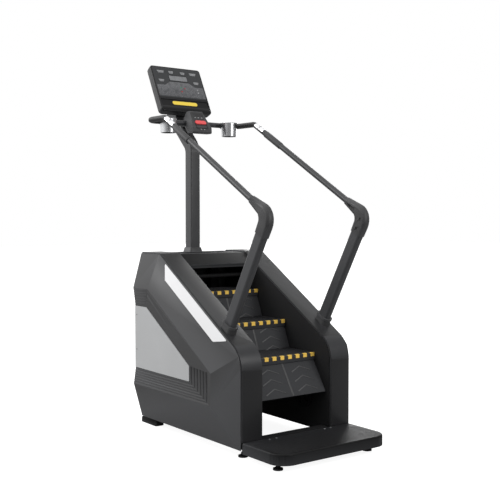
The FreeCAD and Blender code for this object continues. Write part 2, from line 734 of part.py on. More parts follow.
def elbow_cover():
    """Smooth moulded cover where the flat lower rail meets the round upper one."""
    low = lower_line()
    high = upper_line()
    rings = []
    for centre, along, (wide, thick, corner) in elbow_stations():
        rings.append(rail_section(centre, along, 0.0, wide, thick, corner))
    solid = Part.makeLoft(rings, True, True)
    bore = Part.Face(rail_section(ELBOW - low * (ELBOW_LEG + 1), low, 0.6))
    solid = solid.cut(bore.extrude(low * (ELBOW_LEG + 1 - ELBOW_BEND + 0.3)))
    solid = solid.cut(rod(ELBOW + high * (ELBOW_BEND - 0.3), ELBOW + high * (ELBOW_ARM + 10), RAIL_TUBE_R + 0.3))
    for hole in screw_pockets(6.5, 0.0):
        solid = solid.cut(hole)
    return solid


def screw_pockets(radius, rise):
    """Round recesses in the inner face of an elbow cover; rise is how far their floor is filled."""
    low = lower_line()
    high = upper_line()
    face_x = ELBOW.x - 28.0
    floor_x = ELBOW.x - 22.6
    pockets = []
    for along in SCREW_SPOTS:
        centre = ELBOW + (high if along > 0 else low) * along
        if rise > 0:
            pockets.append(rod(V(floor_x - rise, centre.y, centre.z), V(floor_x, centre.y, centre.z), radius))
        else:
            pockets.append(rod(V(face_x, centre.y, centre.z), V(floor_x, centre.y, centre.z), radius))
    return pockets


def rail_collar():
    """Flared boot with a ring, from the incline of the channel up round the rail."""
    along = lower_line()
    foot = COLLAR - along * 100

    def ring(offset, grow):
        return rail_section(foot + along * offset, along, grow)

    body = Part.makeLoft([ring(0, 46), ring(50, 26), ring(92, 15)], True, False)
    band = Part.Face(ring(92, 22)).extrude(along * 13)
    solid = body.fuse(band)
    bore = Part.Face(ring(-5, 0.6)).extrude(along * 120)
    solid = solid.cut(bore)
    under = side_solid(CHANNEL_PROUD, 0, SIDE_REAR, 200, 450)
    return solid.cut(under)


def sensor_plates():
    """Polished half shells on top of each upper rail, two to a side, just below the bend."""
    aim = upper_line()
    length = 45.0
    solids = []
    for offset in (22.0, 73.0):
        start = BEND - aim * (offset + length)
        outer = rod(start, start + aim * length, RAIL_TUBE_R + 1.6)
        inner = rod(start - aim, start + aim * (length + 2), RAIL_TUBE_R + 0.05)
        side = aim.cross(V(1, 0, 0)).normalize()
        shell = outer.cut(inner).cut(outside(start, side * (1 if side.z < 0 else -1)))
        solids.append(shell)
        solids.append(mirrored(shell))
    return Part.makeCompound(solids)


def cup_holder():
    """Steel cup with a rolled rim and the tab that hangs it under the rail."""
    base = V(CUP_X, CUP_Y, CUP_BOTTOM)
    outer = Part.makeCone(CUP_R - 5, CUP_R - 1, CUP_HEIGHT, base, V(0, 0, 1))
    inner = Part.makeCone(CUP_R - 6.5, CUP_R - 2.5, CUP_HEIGHT, base + V(0, 0, 1.5), V(0, 0, 1))
    rim = Part.makeTorus(CUP_R - 1.2, 2.0, V(CUP_X, CUP_Y, CUP_BOTTOM + CUP_HEIGHT), V(0, 0, 1))
    cup = outer.cut(inner).fuse(rim)
    tab_top = CROSSBAR_Z - RAIL_TUBE_R - 0.2
    tab = box(CUP_X - 16, CUP_X + 18, CUP_Y + CUP_R - 4.0, CROSSBAR_Y + 4, tab_top - 5, tab_top)
    return cup.fuse(tab)


# ---------------------------------------------------------------- steps and their drive

def nose(k):
    return NOSE_Y + k * STEP_RUN, NOSE_Z + k * STEP_RISE


def step_tread(k):
    """Tread with its front lip and the two plates that hold it on the chains."""
    y, z = nose(k)
    rear = y + STEP_RUN - 6
    outline = [(y, z), (rear, z), (rear, z - TREAD_THICK), (y + 34, z - TREAD_THICK),
               (y + 12, z - NOSE_DEPTH), (y, z - NOSE_DEPTH)]
    tread = prism_x(outline, -STEP_HALF, STEP_HALF, [7, 2, 2, 14, 3, 5])
    for side in (-1, 1):
        bracket = [(y + 60, z - TREAD_THICK + 1), (y + 205, z - TREAD_THICK + 1)]
        low_y, low_z = on_incline(y, z, 0, CHAIN_DROP)
        bracket += [(low_y + 34, low_z + 14), (low_y - 10, low_z - 4)]
        plate = prism_x(bracket, 198, 204)
        tread = tread.fuse(plate if side > 0 else mirrored(plate))
        pin = rod(V(204, low_y + 6, low_z + 4), V(CHAIN_X - CHAIN_HALF, low_y + 6, low_z + 4), 6)
        tread = tread.fuse(pin if side > 0 else mirrored(pin))
    return tread


def step_riser(k):
    """Kick plate under a nose, raked forward at its foot."""
    y, z = nose(k)
    thick = 9.0
    if k == 0:
        foot_y, foot_z = FIRST_RISER_FOOT
    else:
        foot_y = y - 46
        foot_z = z - STEP_RISE + 1.5
    head_y = y + 3
    head_z = z - NOSE_DEPTH - 0.3
    outline = [(head_y, head_z), (head_y + thick, head_z), (foot_y + thick, foot_z), (foot_y, foot_z)]
    return prism_x(outline, -STEP_HALF + 2, STEP_HALF - 2, [0, 0, 2, 2])


def nosing_markers():
    """Thin yellow squares wrapped over the front edge of every tread."""
    solids = []
    for k in range(STEP_COUNT):
        y, z = nose(k)
        for i in range(-4, 5):
            x = i * MARKER_PITCH
            top = box(x - MARKER_HALF, x + MARKER_HALF, y - 0.9, y + 13, z - 7, z + 0.9)
            front = box(x - MARKER_HALF, x + MARKER_HALF, y - 0.9, y + 13, z - 20, z)
            solids.append(top.fuse(front).cut(step_nose_core(k)))
    return Part.makeCompound(solids)


def step_nose_core(k):
    y, z = nose(k)
    outline = [(y, z), (y + 60, z), (y + 60, z - NOSE_DEPTH), (y, z - NOSE_DEPTH)]
    return prism_x(outline, -STEP_HALF, STEP_HALF, [7, 0, 0, 5])


def shaft_centre(along):
    return on_incline(NOSE_Y, NOSE_Z, -60 + along, CHAIN_DROP + SPROCKET_R)


def strand(start, end, offset, x):
    """Straight length of roller chain beside the sprockets, drawn as its side plates and rollers."""
    y0, z0 = shaft_centre(0)
    a = on_incline(y0, z0, start, offset)
    b = on_incline(y0, z0, end, offset)
    up = (-SIN * 9, COS * 9)
    outline = [(a[0] - up[0], a[1] - up[1]), (b[0] - up[0], b[1] - up[1]),
               (b[0] + up[0], b[1] + up[1]), (a[0] + up[0], a[1] + up[1])]
    return prism_x(outline, x - CHAIN_HALF, x + CHAIN_HALF, [8.5] * 4)


def run_chains():
    right = strand(10, 590, -SPROCKET_R, CHAIN_X)
    return Part.makeCompound([right, mirrored(right)])


def return_steps():
    """Folded steps hanging under the return strands."""
    solids = []
    y0, z0 = shaft_centre(0)
    for start in (110.0, 400.0):
        corners = [(start, SPROCKET_R + 14), (start + 262, SPROCKET_R + 14),
                   (start + 262, SPROCKET_R + 40), (start, SPROCKET_R + 40)]
        outline = [on_incline(y0, z0, along, down) for along, down in corners]
        solids.append(prism_x(outline, -STEP_HALF, STEP_HALF, [4] * 4))
    right = strand(104, 690, SPROCKET_R, CHAIN_X)
    block = []
    for start in (150.0, 440.0):
        corners = [(start, SPROCKET_R - 4), (start + 180, SPROCKET_R - 4),
                   (start + 180, SPROCKET_R + 16), (start, SPROCKET_R + 16)]
        outline = [on_incline(y0, z0, along, down) for along, down in corners]
        block.append(prism_x(outline, CHAIN_X - CHAIN_HALF - 6, CHAIN_X - CHAIN_HALF))
    fused = solids[0].fuse([solids[1], right, mirrored(right)] + block + [mirrored(b) for b in block])
    return fused


def sprocket(y, z, x):
    disc = rod(V(x - 3, y, z), V(x + 3, y, z), SPROCKET_R - 10)
    teeth = []
    count = 24
    for i in range(count):
        angle = 2 * math.pi * i / count
        out = V(0, math.cos(angle), math.sin(angle))
        side = V(0, -math.sin(angle), math.cos(angle))
        base = V(x - 3, y, z) + out * (SPROCKET_R - 14)
        tip = V(x - 3, y, z) + out * (SPROCKET_R - 9.6)
        points = [base - side * 7, base + side * 7, tip + side * 2.5, tip - side * 2.5]
        teeth.append(Part.Face(rounded_wire(points, [0] * 4)).extrude(V(6, 0, 0)))
    disc = disc.fuse(teeth)
    for i in range(5):
        angle = 2 * math.pi * i / 5
        hole_y = y + 46 * math.cos(angle)
        hole_z = z + 46 * math.sin(angle)
        disc = disc.cut(rod(V(x - 5, hole_y, hole_z), V(x + 5, hole_y, hole_z), 14))
    return disc


def sprocket_shaft(along, reach_right):
    y, z = shaft_centre(along)
    shaft = rod(V(-WALL_X - 22, y, z), V(reach_right, y, z), SHAFT_R)
    return shaft.fuse([sprocket(y, z, CHAIN_X), sprocket(y, z, -CHAIN_X)])


def lower_shaft():
    return sprocket_shaft(0, WALL_X + 22)


def upper_shaft():
    y, z = shaft_centre(SPROCKET_SPAN)
    pulley = rod(V(PULLEY_X - 13, y, z), V(PULLEY_X + 13, y, z), BIG_PULLEY_R)
    groove = rod(V(PULLEY_X - 10, y, z), V(PULLEY_X + 10, y, z), BIG_PULLEY_R + 5)
    pulley = pulley.cut(groove.cut(rod(V(PULLEY_X - 11, y, z), V(PULLEY_X + 11, y, z), BIG_PULLEY_R - 3)))
    return sprocket_shaft(SPROCKET_SPAN, PULLEY_X + 18).fuse(pulley)


def shaft_bearings():
    """Flanged bearings in the side walls, one at each end of the two shafts."""
    solids = []
    for along in (0, SPROCKET_SPAN):
        y, z = shaft_centre(along)
        block = rod(V(WALL_X + WALL_THICK, y, z), V(WALL_X + WALL_THICK + 14, y, z), 34)
        bore = rod(V(WALL_X, y, z), V(WALL_X + 40, y, z), SHAFT_R + FIT)
        solids.append(block.cut(bore))
        solids.append(mirrored(block.cut(bore)))
    return Part.makeCompound(solids)


def flywheel():
    y = FLYWHEEL_Y
    z = FLYWHEEL_Z
    rim = rod(V(PULLEY_X + 18, y, z), V(PULLEY_X + 44, y, z), FLYWHEEL_R)
    hollow = rod(V(PULLEY_X + 18, y, z), V(PULLEY_X + 44, y, z), FLYWHEEL_R - 26)
    web = rod(V(PULLEY_X + 26, y, z), V(PULLEY_X + 36, y, z), FLYWHEEL_R - 20)
    hub = rod(V(PULLEY_X - 12, y, z), V(PULLEY_X + 46, y, z), SMALL_PULLEY_R - 3)
    stub = rod(V(PULLEY_X - 40, y, z), V(PULLEY_X - 12, y, z), 8)
    return rim.cut(hollow).fuse([web, hub, stub])


def drive_belt():
    """Belt round the large and the small pulley, clear of both by a hair."""
    big_y, big_z = shaft_centre(SPROCKET_SPAN)
    small_y = FLYWHEEL_Y
    small_z = FLYWHEEL_Z

    def loop(extra):
        big = BIG_PULLEY_R - 3 + extra
        small = SMALL_PULLEY_R - 3 + extra
        aim = V(0, small_y - big_y, small_z - big_z)
        span = aim.Length
        aim = aim.normalize()
        side = V(0, -aim.z, aim.y)
        lean = math.asin((big - small) / span)
        along = aim * math.sin(lean)
        c_big = V(PULLEY_X - 8, big_y, big_z)
        c_small = V(PULLEY_X - 8, small_y, small_z)
        up = (side * math.cos(lean) + along)
        down = (side * -math.cos(lean) + along)
        a = c_big + up * big
        b = c_small + up * small
        c = c_small + down * small
        d = c_big + down * big
        edges = [Part.makeLine(a, b), Part.Arc(b, c_small + aim * small, c).toShape(),
                 Part.makeLine(c, d), Part.Arc(d, c_big - aim * big, a).toShape()]
        return Part.Face(Part.Wire(edges)).extrude(V(16, 0, 0))

    return loop(3.4).cut(loop(0.4))


def alternator():
    """Brake generator on the side wall, whose rotor the flywheel's stub enters."""
    y = FLYWHEEL_Y
    z = FLYWHEEL_Z
    body = rod(V(WALL_X + WALL_THICK, y, z), V(WALL_X + WALL_THICK + 34, y, z), 62)
    bore = rod(V(PULLEY_X - 41, y, z), V(PULLEY_X, y, z), 8 + FIT)
    fins = []
    for i in range(12):
        angle = 2 * math.pi * i / 12
        block = box(WALL_X + WALL_THICK + 4, WALL_X + WALL_THICK + 30, -3, 3, 55, 68)
        block.Placement = Base.Placement(V(0, y, z), Base.Rotation(V(1, 0, 0), math.degrees(angle)))
        fins.append(block)
    return body.fuse(fins).cut(bore)


def power_inlet():
    """Three-pin inlet, its flange outside the rear cover and its body through the window."""
    plate = box(-30, 30, 602.1, 606, 112, 158)
    body = box(-21, 21, 588, 602.1, 121, 149)
    socket = box(-17, 17, 591, 607, 124, 146)
    pins = [box(x - 1.2, x + 1.2, 590, 603, 132, 138) for x in (-8, 0, 8)]
    return plate.fuse(body).cut(socket).fuse(pins)


def elbow_screws():
    screws = screw_pockets(5.0, 2.0)
    return Part.makeCompound(screws + [mirrored(screw) for screw in screws])


def build():
    parts = {}
    for name, shape in (("base_rail", base_rail()), ("side_wall", side_wall()),
                        ("side_channel", side_channel()), ("side_shroud", side_shroud()),
                        ("handrail_lower", handrail_lower()), ("handrail_upper", handrail_upper()),
                        ("elbow_cover", elbow_cover()), ("rail_collar", rail_collar()),
                        ("cup_holder", cup_holder())):
        parts[name + "_right"] = shape
        parts[name + "_left"] = mirrored(shape)
    for row, y in zip(("front", "middle"), FOOT_ROWS):
        parts["levelling_foot_" + row + "_right"] = levelling_foot(RAIL_X, y)
        parts["levelling_foot_" + row + "_left"] = levelling_foot(-RAIL_X, y)
    for k in range(STEP_COUNT):
        parts["step_tread_%d" % (k + 1)] = step_tread(k)
        parts["step_riser_%d" % (k + 1)] = step_riser(k)
    parts["inset_panels"] = both_sides(inset_panel())
    parts["accent_stripes"] = both_sides(accent_stripe())
    parts["base_cross_members"] = cross_members()
    parts["rear_frame"] = rear_frame()
    parts["rear_foot_pads"] = rear_foot_pads()
    parts["platform_deck"] = platform_deck()
    parts["rear_cover"] = rear_cover()
    parts["top_tray"] = top_tray()
    parts["guard_bar"] = guard_bar()
    parts["mast"] = mast()
    parts["mast_boot"] = mast_boot()
    parts["console_housing"] = console_housing()
    parts["console_back"] = console_back()
    parts["console_overlay"] = console_overlay()
    parts["led_window"] = led_window()
    parts["console_strip"] = console_strip()
    parts["console_bracket"] = console_bracket()
    parts["keypad_pod"] = keypad_pod()
    parts["stop_button"] = stop_button()
    parts["front_crossbar"] = front_crossbar()
    parts["pulse_sensor_plates"] = sensor_plates()
    parts["nosing_markers"] = nosing_markers()
    parts["run_chains"] = run_chains()
    parts["return_steps"] = return_steps()
    parts["lower_sprocket_shaft"] = lower_shaft()
    parts["upper_sprocket_shaft"] = upper_shaft()
    parts["shaft_bearings"] = shaft_bearings()
    parts["flywheel"] = flywheel()
    parts["drive_belt"] = drive_belt()
    parts["alternator"] = alternator()
    parts["power_inlet"] = power_inlet()
    parts["elbow_screws"] = elbow_screws()
    return parts


os.makedirs("parts", exist_ok=True)
for name, shape in build().items():
    shape.exportStep("parts/" + name + ".step")
    bounds = shape.BoundBox
    print("%-30s solids %3d valid %s  x %7.1f %7.1f  y %7.1f %7.1f  z %7.1f %7.1f" % (
        name, len(shape.Solids), shape.isValid(), bounds.XMin, bounds.XMax,
        bounds.YMin, bounds.YMax, bounds.ZMin, bounds.ZMax))
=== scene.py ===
# %% [markdown]
# # A stair climber, from its CAD frame to its looks
# The machine's frame, covers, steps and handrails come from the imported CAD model. This lesson gives every
# one of them its finish, softens the moulded covers, and models the small pieces that a CAD frame leaves
# out.

import bmesh
import bpy
import json
import math
from mathutils import Matrix, Vector

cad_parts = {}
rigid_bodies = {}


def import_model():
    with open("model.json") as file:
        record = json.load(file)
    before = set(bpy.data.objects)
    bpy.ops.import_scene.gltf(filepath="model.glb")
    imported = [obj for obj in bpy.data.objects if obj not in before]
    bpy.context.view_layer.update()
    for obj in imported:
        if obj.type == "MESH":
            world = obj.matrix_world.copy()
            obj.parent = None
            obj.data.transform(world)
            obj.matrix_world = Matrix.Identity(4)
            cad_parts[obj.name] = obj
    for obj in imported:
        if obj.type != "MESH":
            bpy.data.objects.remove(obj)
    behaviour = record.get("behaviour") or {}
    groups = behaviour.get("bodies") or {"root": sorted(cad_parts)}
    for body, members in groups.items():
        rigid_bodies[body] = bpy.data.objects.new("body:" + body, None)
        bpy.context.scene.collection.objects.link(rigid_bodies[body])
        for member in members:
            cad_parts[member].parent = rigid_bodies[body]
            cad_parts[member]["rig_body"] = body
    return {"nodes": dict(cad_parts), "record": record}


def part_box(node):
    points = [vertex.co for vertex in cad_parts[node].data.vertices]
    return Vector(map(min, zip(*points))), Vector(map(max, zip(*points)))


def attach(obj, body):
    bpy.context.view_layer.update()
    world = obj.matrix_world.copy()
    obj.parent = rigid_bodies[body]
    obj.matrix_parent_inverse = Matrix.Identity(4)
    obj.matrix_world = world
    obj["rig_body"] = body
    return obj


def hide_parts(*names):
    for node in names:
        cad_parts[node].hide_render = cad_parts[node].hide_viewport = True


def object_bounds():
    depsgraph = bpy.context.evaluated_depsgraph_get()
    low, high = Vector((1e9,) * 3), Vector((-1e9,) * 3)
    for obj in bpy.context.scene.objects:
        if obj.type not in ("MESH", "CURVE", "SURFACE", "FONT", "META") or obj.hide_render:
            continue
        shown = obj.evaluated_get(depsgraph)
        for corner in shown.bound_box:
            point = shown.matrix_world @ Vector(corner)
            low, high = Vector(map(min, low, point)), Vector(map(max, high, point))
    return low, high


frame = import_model()
cad_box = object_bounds()
bpy.context.scene.view_settings.view_transform = "Standard"
MM = 0.001

# %% [markdown]
# ## Floor, light and camera
# A machine this dark shows its shape only by what it reflects. So the light comes from overhead, behind the
# climber's left shoulder, as from a large soft box, and is dim at eye level: a face that leans up is then
# paler than one that stands upright, and the facets of the side cover read. The backdrop itself stays plain
# white in every view. The floor is a plain white sheet that glows to the eye, as paper on a light table
# does, but throws little light back, so that the machine keeps its dark undersides. A camera at standing
# height, half to the left of the machine, sees the side cover, the steps and the console at once.

# %% Camera
VIEW_YAW = math.radians(36.64)
VIEW_PITCH = math.radians(2.23)
VIEW_DISTANCE = 5.142
VIEW_AIM = Vector((0.0245, -0.0233, 1.0797))
LENS = 63.3

ahead = Vector((math.sin(VIEW_YAW) * math.cos(VIEW_PITCH), math.cos(VIEW_YAW) * math.cos(VIEW_PITCH),
                -math.sin(VIEW_PITCH)))
camera_data = bpy.data.cameras.new("camera")
camera_data.lens = LENS
camera = bpy.data.objects.new("camera", camera_data)
camera.location = VIEW_AIM - ahead * VIEW_DISTANCE
camera.rotation_euler = ahead.to_track_quat("-Z", "Y").to_euler()
bpy.context.scene.collection.objects.link(camera)
bpy.context.scene.camera = camera
print("camera stands at", [round(value, 2) for value in camera.location])


# %% A node helper that every material uses
def add_node(tree, kind, inputs=None, **settings):
    """Add a shader node, set its properties, and fill or link its inputs."""
    node = tree.nodes.new(kind)
    for name, value in settings.items():
        setattr(node, name, value)
    for key, value in (inputs or {}).items():
        if isinstance(value, bpy.types.NodeSocket):
            tree.links.new(value, node.inputs[key])
        else:
            node.inputs[key].default_value = value
    return node


def linear(code):
    """An opaque sRGB hex colour as the linear values that a shader works in."""
    channels = [int(code[i:i + 2], 16) / 255 for i in (1, 3, 5)]
    return [c / 12.92 if c <= 0.04045 else ((c + 0.055) / 1.055) ** 2.4 for c in channels] + [1.0]


def new_material(name):
    """An empty material with its principled shader, and the object's own coordinates in metres."""
    made = bpy.data.materials.new(name)
    made.use_nodes = True
    tree = made.node_tree
    tree.nodes.clear()
    place = add_node(tree, "ShaderNodeTexCoord").outputs["Object"]
    shader = add_node(tree, "ShaderNodeBsdfPrincipled")
    add_node(tree, "ShaderNodeOutputMaterial", {"Surface": shader.outputs["BSDF"]})
    return made, tree, place, shader


def deselect():
    """Leave edit mode and drop every selection, so that an operator acts on nothing old."""
    if bpy.context.mode != "OBJECT":
        bpy.ops.object.mode_set(mode="OBJECT")
    bpy.ops.object.select_all(action="DESELECT")


# %% Floor and room
FLOOR_GLOW = 0.92    # what the eye sees of the floor in full shadow
FLOOR_SHADE = 0.40   # what it gains where the light reaches it
FLOOR_BOUNCE = 0.30  # the share of light that it throws back on the machine
ROOM_LEVEL = 0.30    # light from the horizon and the climber's front, against ROOM_TOP from overhead
ROOM_TOP = 1.60
BRIGHT_SIDE = Vector((-0.42, 0.42, 0.80))

deselect()
bpy.ops.mesh.primitive_plane_add(size=60, location=(0, 0, cad_box[0][2]))
floor = bpy.context.object
floor.name = "studio_floor"
paper, tree, place, shader = new_material("white paper floor")
seen = add_node(tree, "ShaderNodeLightPath").outputs["Is Camera Ray"]
speckle = add_node(tree, "ShaderNodeTexNoise", {"Vector": place, "Scale": 3.0, "Detail": 3.0})
tone = add_node(tree, "ShaderNodeMix", {"Factor": speckle.outputs["Fac"], "A": linear("#fbfbfb"),
                                        "B": linear("#ffffff")}, data_type="RGBA")
share = add_node(tree, "ShaderNodeMix", {"Factor": seen, "A": FLOOR_BOUNCE, "B": FLOOR_SHADE})
sheet = add_node(tree, "ShaderNodeVectorMath", {0: tone.outputs["Result"], "Scale": share.outputs["Result"]},
                 operation="SCALE")
glow = add_node(tree, "ShaderNodeMix", {"Factor": seen, "A": 0.0, "B": FLOOR_GLOW})
tree.links.new(sheet.outputs["Vector"], shader.inputs["Base Color"])
tree.links.new(glow.outputs["Result"], shader.inputs["Emission Strength"])
shader.inputs["Emission Color"].default_value = (1, 1, 1, 1)
shader.inputs["Roughness"].default_value = 0.95
shader.inputs["Specular IOR Level"].default_value = 0.1
floor.data.materials.append(paper)

world = bpy.data.worlds.new("white room")
bpy.context.scene.world = world
world.use_nodes = True
tree = world.node_tree
toward = add_node(tree, "ShaderNodeTexCoord").outputs["Generated"]
facing = add_node(tree, "ShaderNodeVectorMath", {0: toward, 1: BRIGHT_SIDE.normalized()},
                  operation="DOT_PRODUCT")
glow = add_node(tree, "ShaderNodeMapRange", {"Value": facing.outputs["Value"], "From Min": 0.0,
                                             "From Max": 0.9, "To Min": ROOM_LEVEL, "To Max": ROOM_TOP},
                interpolation_type="SMOOTHSTEP")
seen = add_node(tree, "ShaderNodeLightPath").outputs["Is Camera Ray"]
shown = add_node(tree, "ShaderNodeMix", {"Factor": seen, "A": glow.outputs["Result"], "B": 1.0})
tree.links.new(shown.outputs["Result"], tree.nodes["Background"].inputs["Strength"])
tree.nodes["Background"].inputs["Color"].default_value = (1, 1, 1, 1)


def soft_panel(name, where, target, size, power):
    """A square area light that faces its target."""
    data = bpy.data.lights.new(name, "AREA")
    data.shape = "SQUARE"
    data.size = size
    data.energy = power
    lamp = bpy.data.objects.new(name, data)
    lamp.location = where
    lamp.rotation_euler = (Vector(target) - Vector(where)).to_track_quat("-Z", "Y").to_euler()
    bpy.context.scene.collection.objects.link(lamp)


soft_panel("side_panel", (-2.6, 2.0, 3.2), (0, 0.3, 0.8), 1.4, 62)
soft_panel("front_panel", (1.3, -3.9, 2.7), (0, 0, 1.0), 1.6, 75)
soft_panel("rear_panel", (3.2, 2.8, 2.4), (0, 0, 1.0), 1.6, 55)

# %% [markdown]
# ## Moulded covers, painted steel and the other finishes
# Injection-moulded ABS takes the texture of its mould: a fine, shallow grain that breaks up the
# reflections. Powder coat has a softer, wider orange peel, and brushed steel shows fine upright marks. All
# start from one function, with the grain's real size in millimetres. The surface's pointiness lifts the tone
# where two faces meet, as wear and as a painted highlight along each edge.


# %% Grained finishes
CLOUD_MM = 160                      # the size of the slow changes of tone
PALE_EDGE_FROM, PALE_EDGE_FULL = 0.52, 0.62   # pointiness where the paler edge starts and where it is full
PALE_EDGE_SHARE = 0.35                   # of the paler tone at most: wear and painted highlight
GLOSS_LESS, GLOSS_MORE = 0.06, 0.08  # how far the roughness moves below and above the stated one


def grained(name, dark, light, grain_mm, depth_mm, rough, metallic=0.0, strength=0.35,
            sheen=0.5, wear_and_highlight="#5a5b5e", stretch=(1, 1, 1)):
    """A surface with a fine bump of a real grain size, slow changes of tone and gloss, and paler edges that
    are wear and a painted highlight.
    """
    made, tree, place, shader = new_material(name)
    drawn = add_node(tree, "ShaderNodeMapping", {"Vector": place, "Scale": stretch})
    cloud = add_node(tree, "ShaderNodeTexNoise", {"Vector": place, "Scale": 1 / (CLOUD_MM * MM),
                                                  "Detail": 4.0})
    grain = add_node(tree, "ShaderNodeTexNoise", {"Vector": drawn.outputs["Vector"],
                                                  "Scale": 1 / (grain_mm * MM), "Detail": 2.0})
    tone = add_node(tree, "ShaderNodeMix", {"Factor": cloud.outputs["Fac"], "A": linear(dark),
                                            "B": linear(light)}, data_type="RGBA")
    # Wear and painted highlight: where the surface is pointy, along its edges, the tone is mixed towards a
    # paler one.
    edge = add_node(tree, "ShaderNodeNewGeometry").outputs["Pointiness"]
    worn_and_highlit = add_node(tree, "ShaderNodeMapRange", {"Value": edge, "From Min": PALE_EDGE_FROM, "From Max": PALE_EDGE_FULL,
                                                 "To Min": 0.0, "To Max": PALE_EDGE_SHARE})
    faced = add_node(tree, "ShaderNodeMix", {"Factor": worn_and_highlit.outputs["Result"], "A": tone.outputs["Result"],
                                             "B": linear(wear_and_highlight)}, data_type="RGBA")
    gloss = add_node(tree, "ShaderNodeMapRange", {"Value": cloud.outputs["Fac"], "To Min": rough - GLOSS_LESS,
                                                  "To Max": rough + GLOSS_MORE})
    bump = add_node(tree, "ShaderNodeBump", {"Height": grain.outputs["Fac"], "Strength": strength,
                                             "Distance": depth_mm * MM})
    tree.links.new(faced.outputs["Result"], shader.inputs["Base Color"])
    tree.links.new(gloss.outputs["Result"], shader.inputs["Roughness"])
    tree.links.new(bump.outputs["Normal"], shader.inputs["Normal"])
    shader.inputs["Metallic"].default_value = metallic
    if not metallic:
        shader.inputs["Specular IOR Level"].default_value = sheen
    return made


# ABS covers: charcoal, satin, a fine spark-eroded grain. Powder coat: nearly black, a wider orange peel.
# Brushed stainless: fine upright marks, so its grain is stretched sixtyfold along Z.
FINISH = {
    "moulded_cover": grained("moulded ABS, charcoal", "#343435", "#3c3c3d", 1.6, 0.10, 0.50, sheen=0.30),
    "channel_paint": grained("powder-coated steel, black", "#1f1f20", "#252526", 2.4, 0.08, 0.34, sheen=0.28),
    "frame_paint": grained("powder-coated tube, black", "#1f1f20", "#262627", 2.4, 0.08, 0.42, sheen=0.30),
    "platform_plastic": grained("moulded polypropylene, black", "#09090a", "#0e0e0f", 2.0, 0.16, 0.46,
                                sheen=0.14),
    "rubber_pad": grained("moulded rubber", "#0e0e0f", "#151516", 1.8, 0.15, 0.72, sheen=0.2),
    "console_gloss": grained("moulded ABS, satin black", "#1b1b1c", "#212122", 2.0, 0.05, 0.40, sheen=0.25),
    "membrane": grained("polycarbonate membrane", "#2c2d2e", "#333435", 1.2, 0.04, 0.42, sheen=0.3),
    "yellow_trim": grained("moulded ABS, traffic yellow", "#fbc02c", "#ffd040", 1.6, 0.06, 0.42,
                           wear_and_highlight="#ffe08a"),
    "red_button": grained("moulded ABS, signal red", "#e0232b", "#ee373d", 1.6, 0.03, 0.30, wear_and_highlight="#f88a8a"),
    "tread_plastic": grained("moulded nylon tread, black", "#0d0d0e", "#121213", 2.0, 0.18, 0.50, sheen=0.14),
    "bare_steel": grained("turned steel", "#77787a", "#8e8f92", 0.9, 0.03, 0.34, metallic=1.0,
                          wear_and_highlight="#b5b6b8"),
    # Near-black steel: a real black-oxide finish, also kept this dark as painted shade, so that a lit shaft
    # inside the frame stays as dark as the shade round it.
    "dark_steel": grained("black-oxide steel, dark as shade", "#0b0b0c", "#101011", 1.2, 0.04, 0.50, sheen=0.1,
                          wear_and_highlight="#2a2a2c"),
    "cast_iron": grained("machined cast iron", "#3a3a3b", "#4a4a4c", 2.2, 0.12, 0.46, metallic=0.8),
    "motor_alloy": grained("die-cast aluminium", "#8b8c8f", "#a3a4a7", 1.8, 0.10, 0.44, metallic=0.9,
                           wear_and_highlight="#c0c1c3"),
    "inlet_plastic": grained("moulded nylon, black", "#111112", "#18181a", 1.4, 0.08, 0.50),
    "silver_panel": grained("silver metallic lacquer", "#9b9c9d", "#a7a8a9", 0.8, 0.03, 0.42, metallic=0.25,
                            wear_and_highlight="#c8c9ca"),
    "stripe_film": grained("satin silver film", "#c9c9ca", "#d6d6d7", 1.0, 0.02, 0.38, metallic=0.1,
                           wear_and_highlight="#f2f2f3"),
    "polished_steel": grained("brushed stainless steel", "#c4c5c7", "#d4d5d7", 1.4, 0.01, 0.26, metallic=1.0,
                              strength=0.12, wear_and_highlight="#dddddf", stretch=(1, 1, 1 / 60)),
}
print(len(FINISH), "finishes")

# %% More paints, prints and lamp lenses
FINISH.update({
    "inner_paint": grained("powder-coated plate, matt black", "#202021", "#282829", 2.4, 0.08, 0.60,
                           sheen=0.12, wear_and_highlight="#242425"),
    "strip_yellow": grained("moulded ABS, lemon yellow", "#ffd628", "#ffdf3c", 1.6, 0.06, 0.42,
                            wear_and_highlight="#ffec8a"),
    "mast_paint": grained("powder-coated tube, charcoal", "#343435", "#3c3c3d", 2.4, 0.08, 0.40, sheen=0.4),
    "tray_plastic": grained("moulded ABS, deep black", "#0b0b0c", "#101011", 2.0, 0.12, 0.50, sheen=0.12),
    "print_grey": grained("screen print, pale grey", "#8d8e90", "#9a9b9d", 0.8, 0.02, 0.55, wear_and_highlight="#a2a3a5"),
    "print_red": grained("screen print, dull red", "#7d4440", "#8a4b46", 0.8, 0.02, 0.55, wear_and_highlight="#95554f"),
    "lamp_green": grained("green lamp lens", "#2d8a63", "#38a074", 0.8, 0.02, 0.25, wear_and_highlight="#5fc29a"),
    "lamp_red": grained("red lamp lens", "#c42a33", "#d63c42", 0.8, 0.02, 0.25, wear_and_highlight="#ee7a7c"),
    "lamp_white": grained("clear lamp lens", "#cfd0d2", "#e0e1e3", 0.8, 0.02, 0.25, wear_and_highlight="#f0f0f2"),
    "grip_foam": grained("nitrile foam sleeve", "#2f2f30", "#373738", 1.8, 0.20, 0.58, sheen=0.35),
    # The chevrons and ribs are drawn much paler than the black tread plastic that they are moulded in one
    # with.
    "tread_relief": grained("moulded nylon, paler relief", "#3a3a3b", "#464647", 2.0, 0.12, 0.46, sheen=0.4,
                            wear_and_highlight="#4a4a4b"),
    "lip_gloss": grained("moulded ABS, polished black", "#101011", "#151516", 2.0, 0.03, 0.32, sheen=0.3,
                         wear_and_highlight="#3a3a3c"),
})
print(len(FINISH), "finishes with the prints")

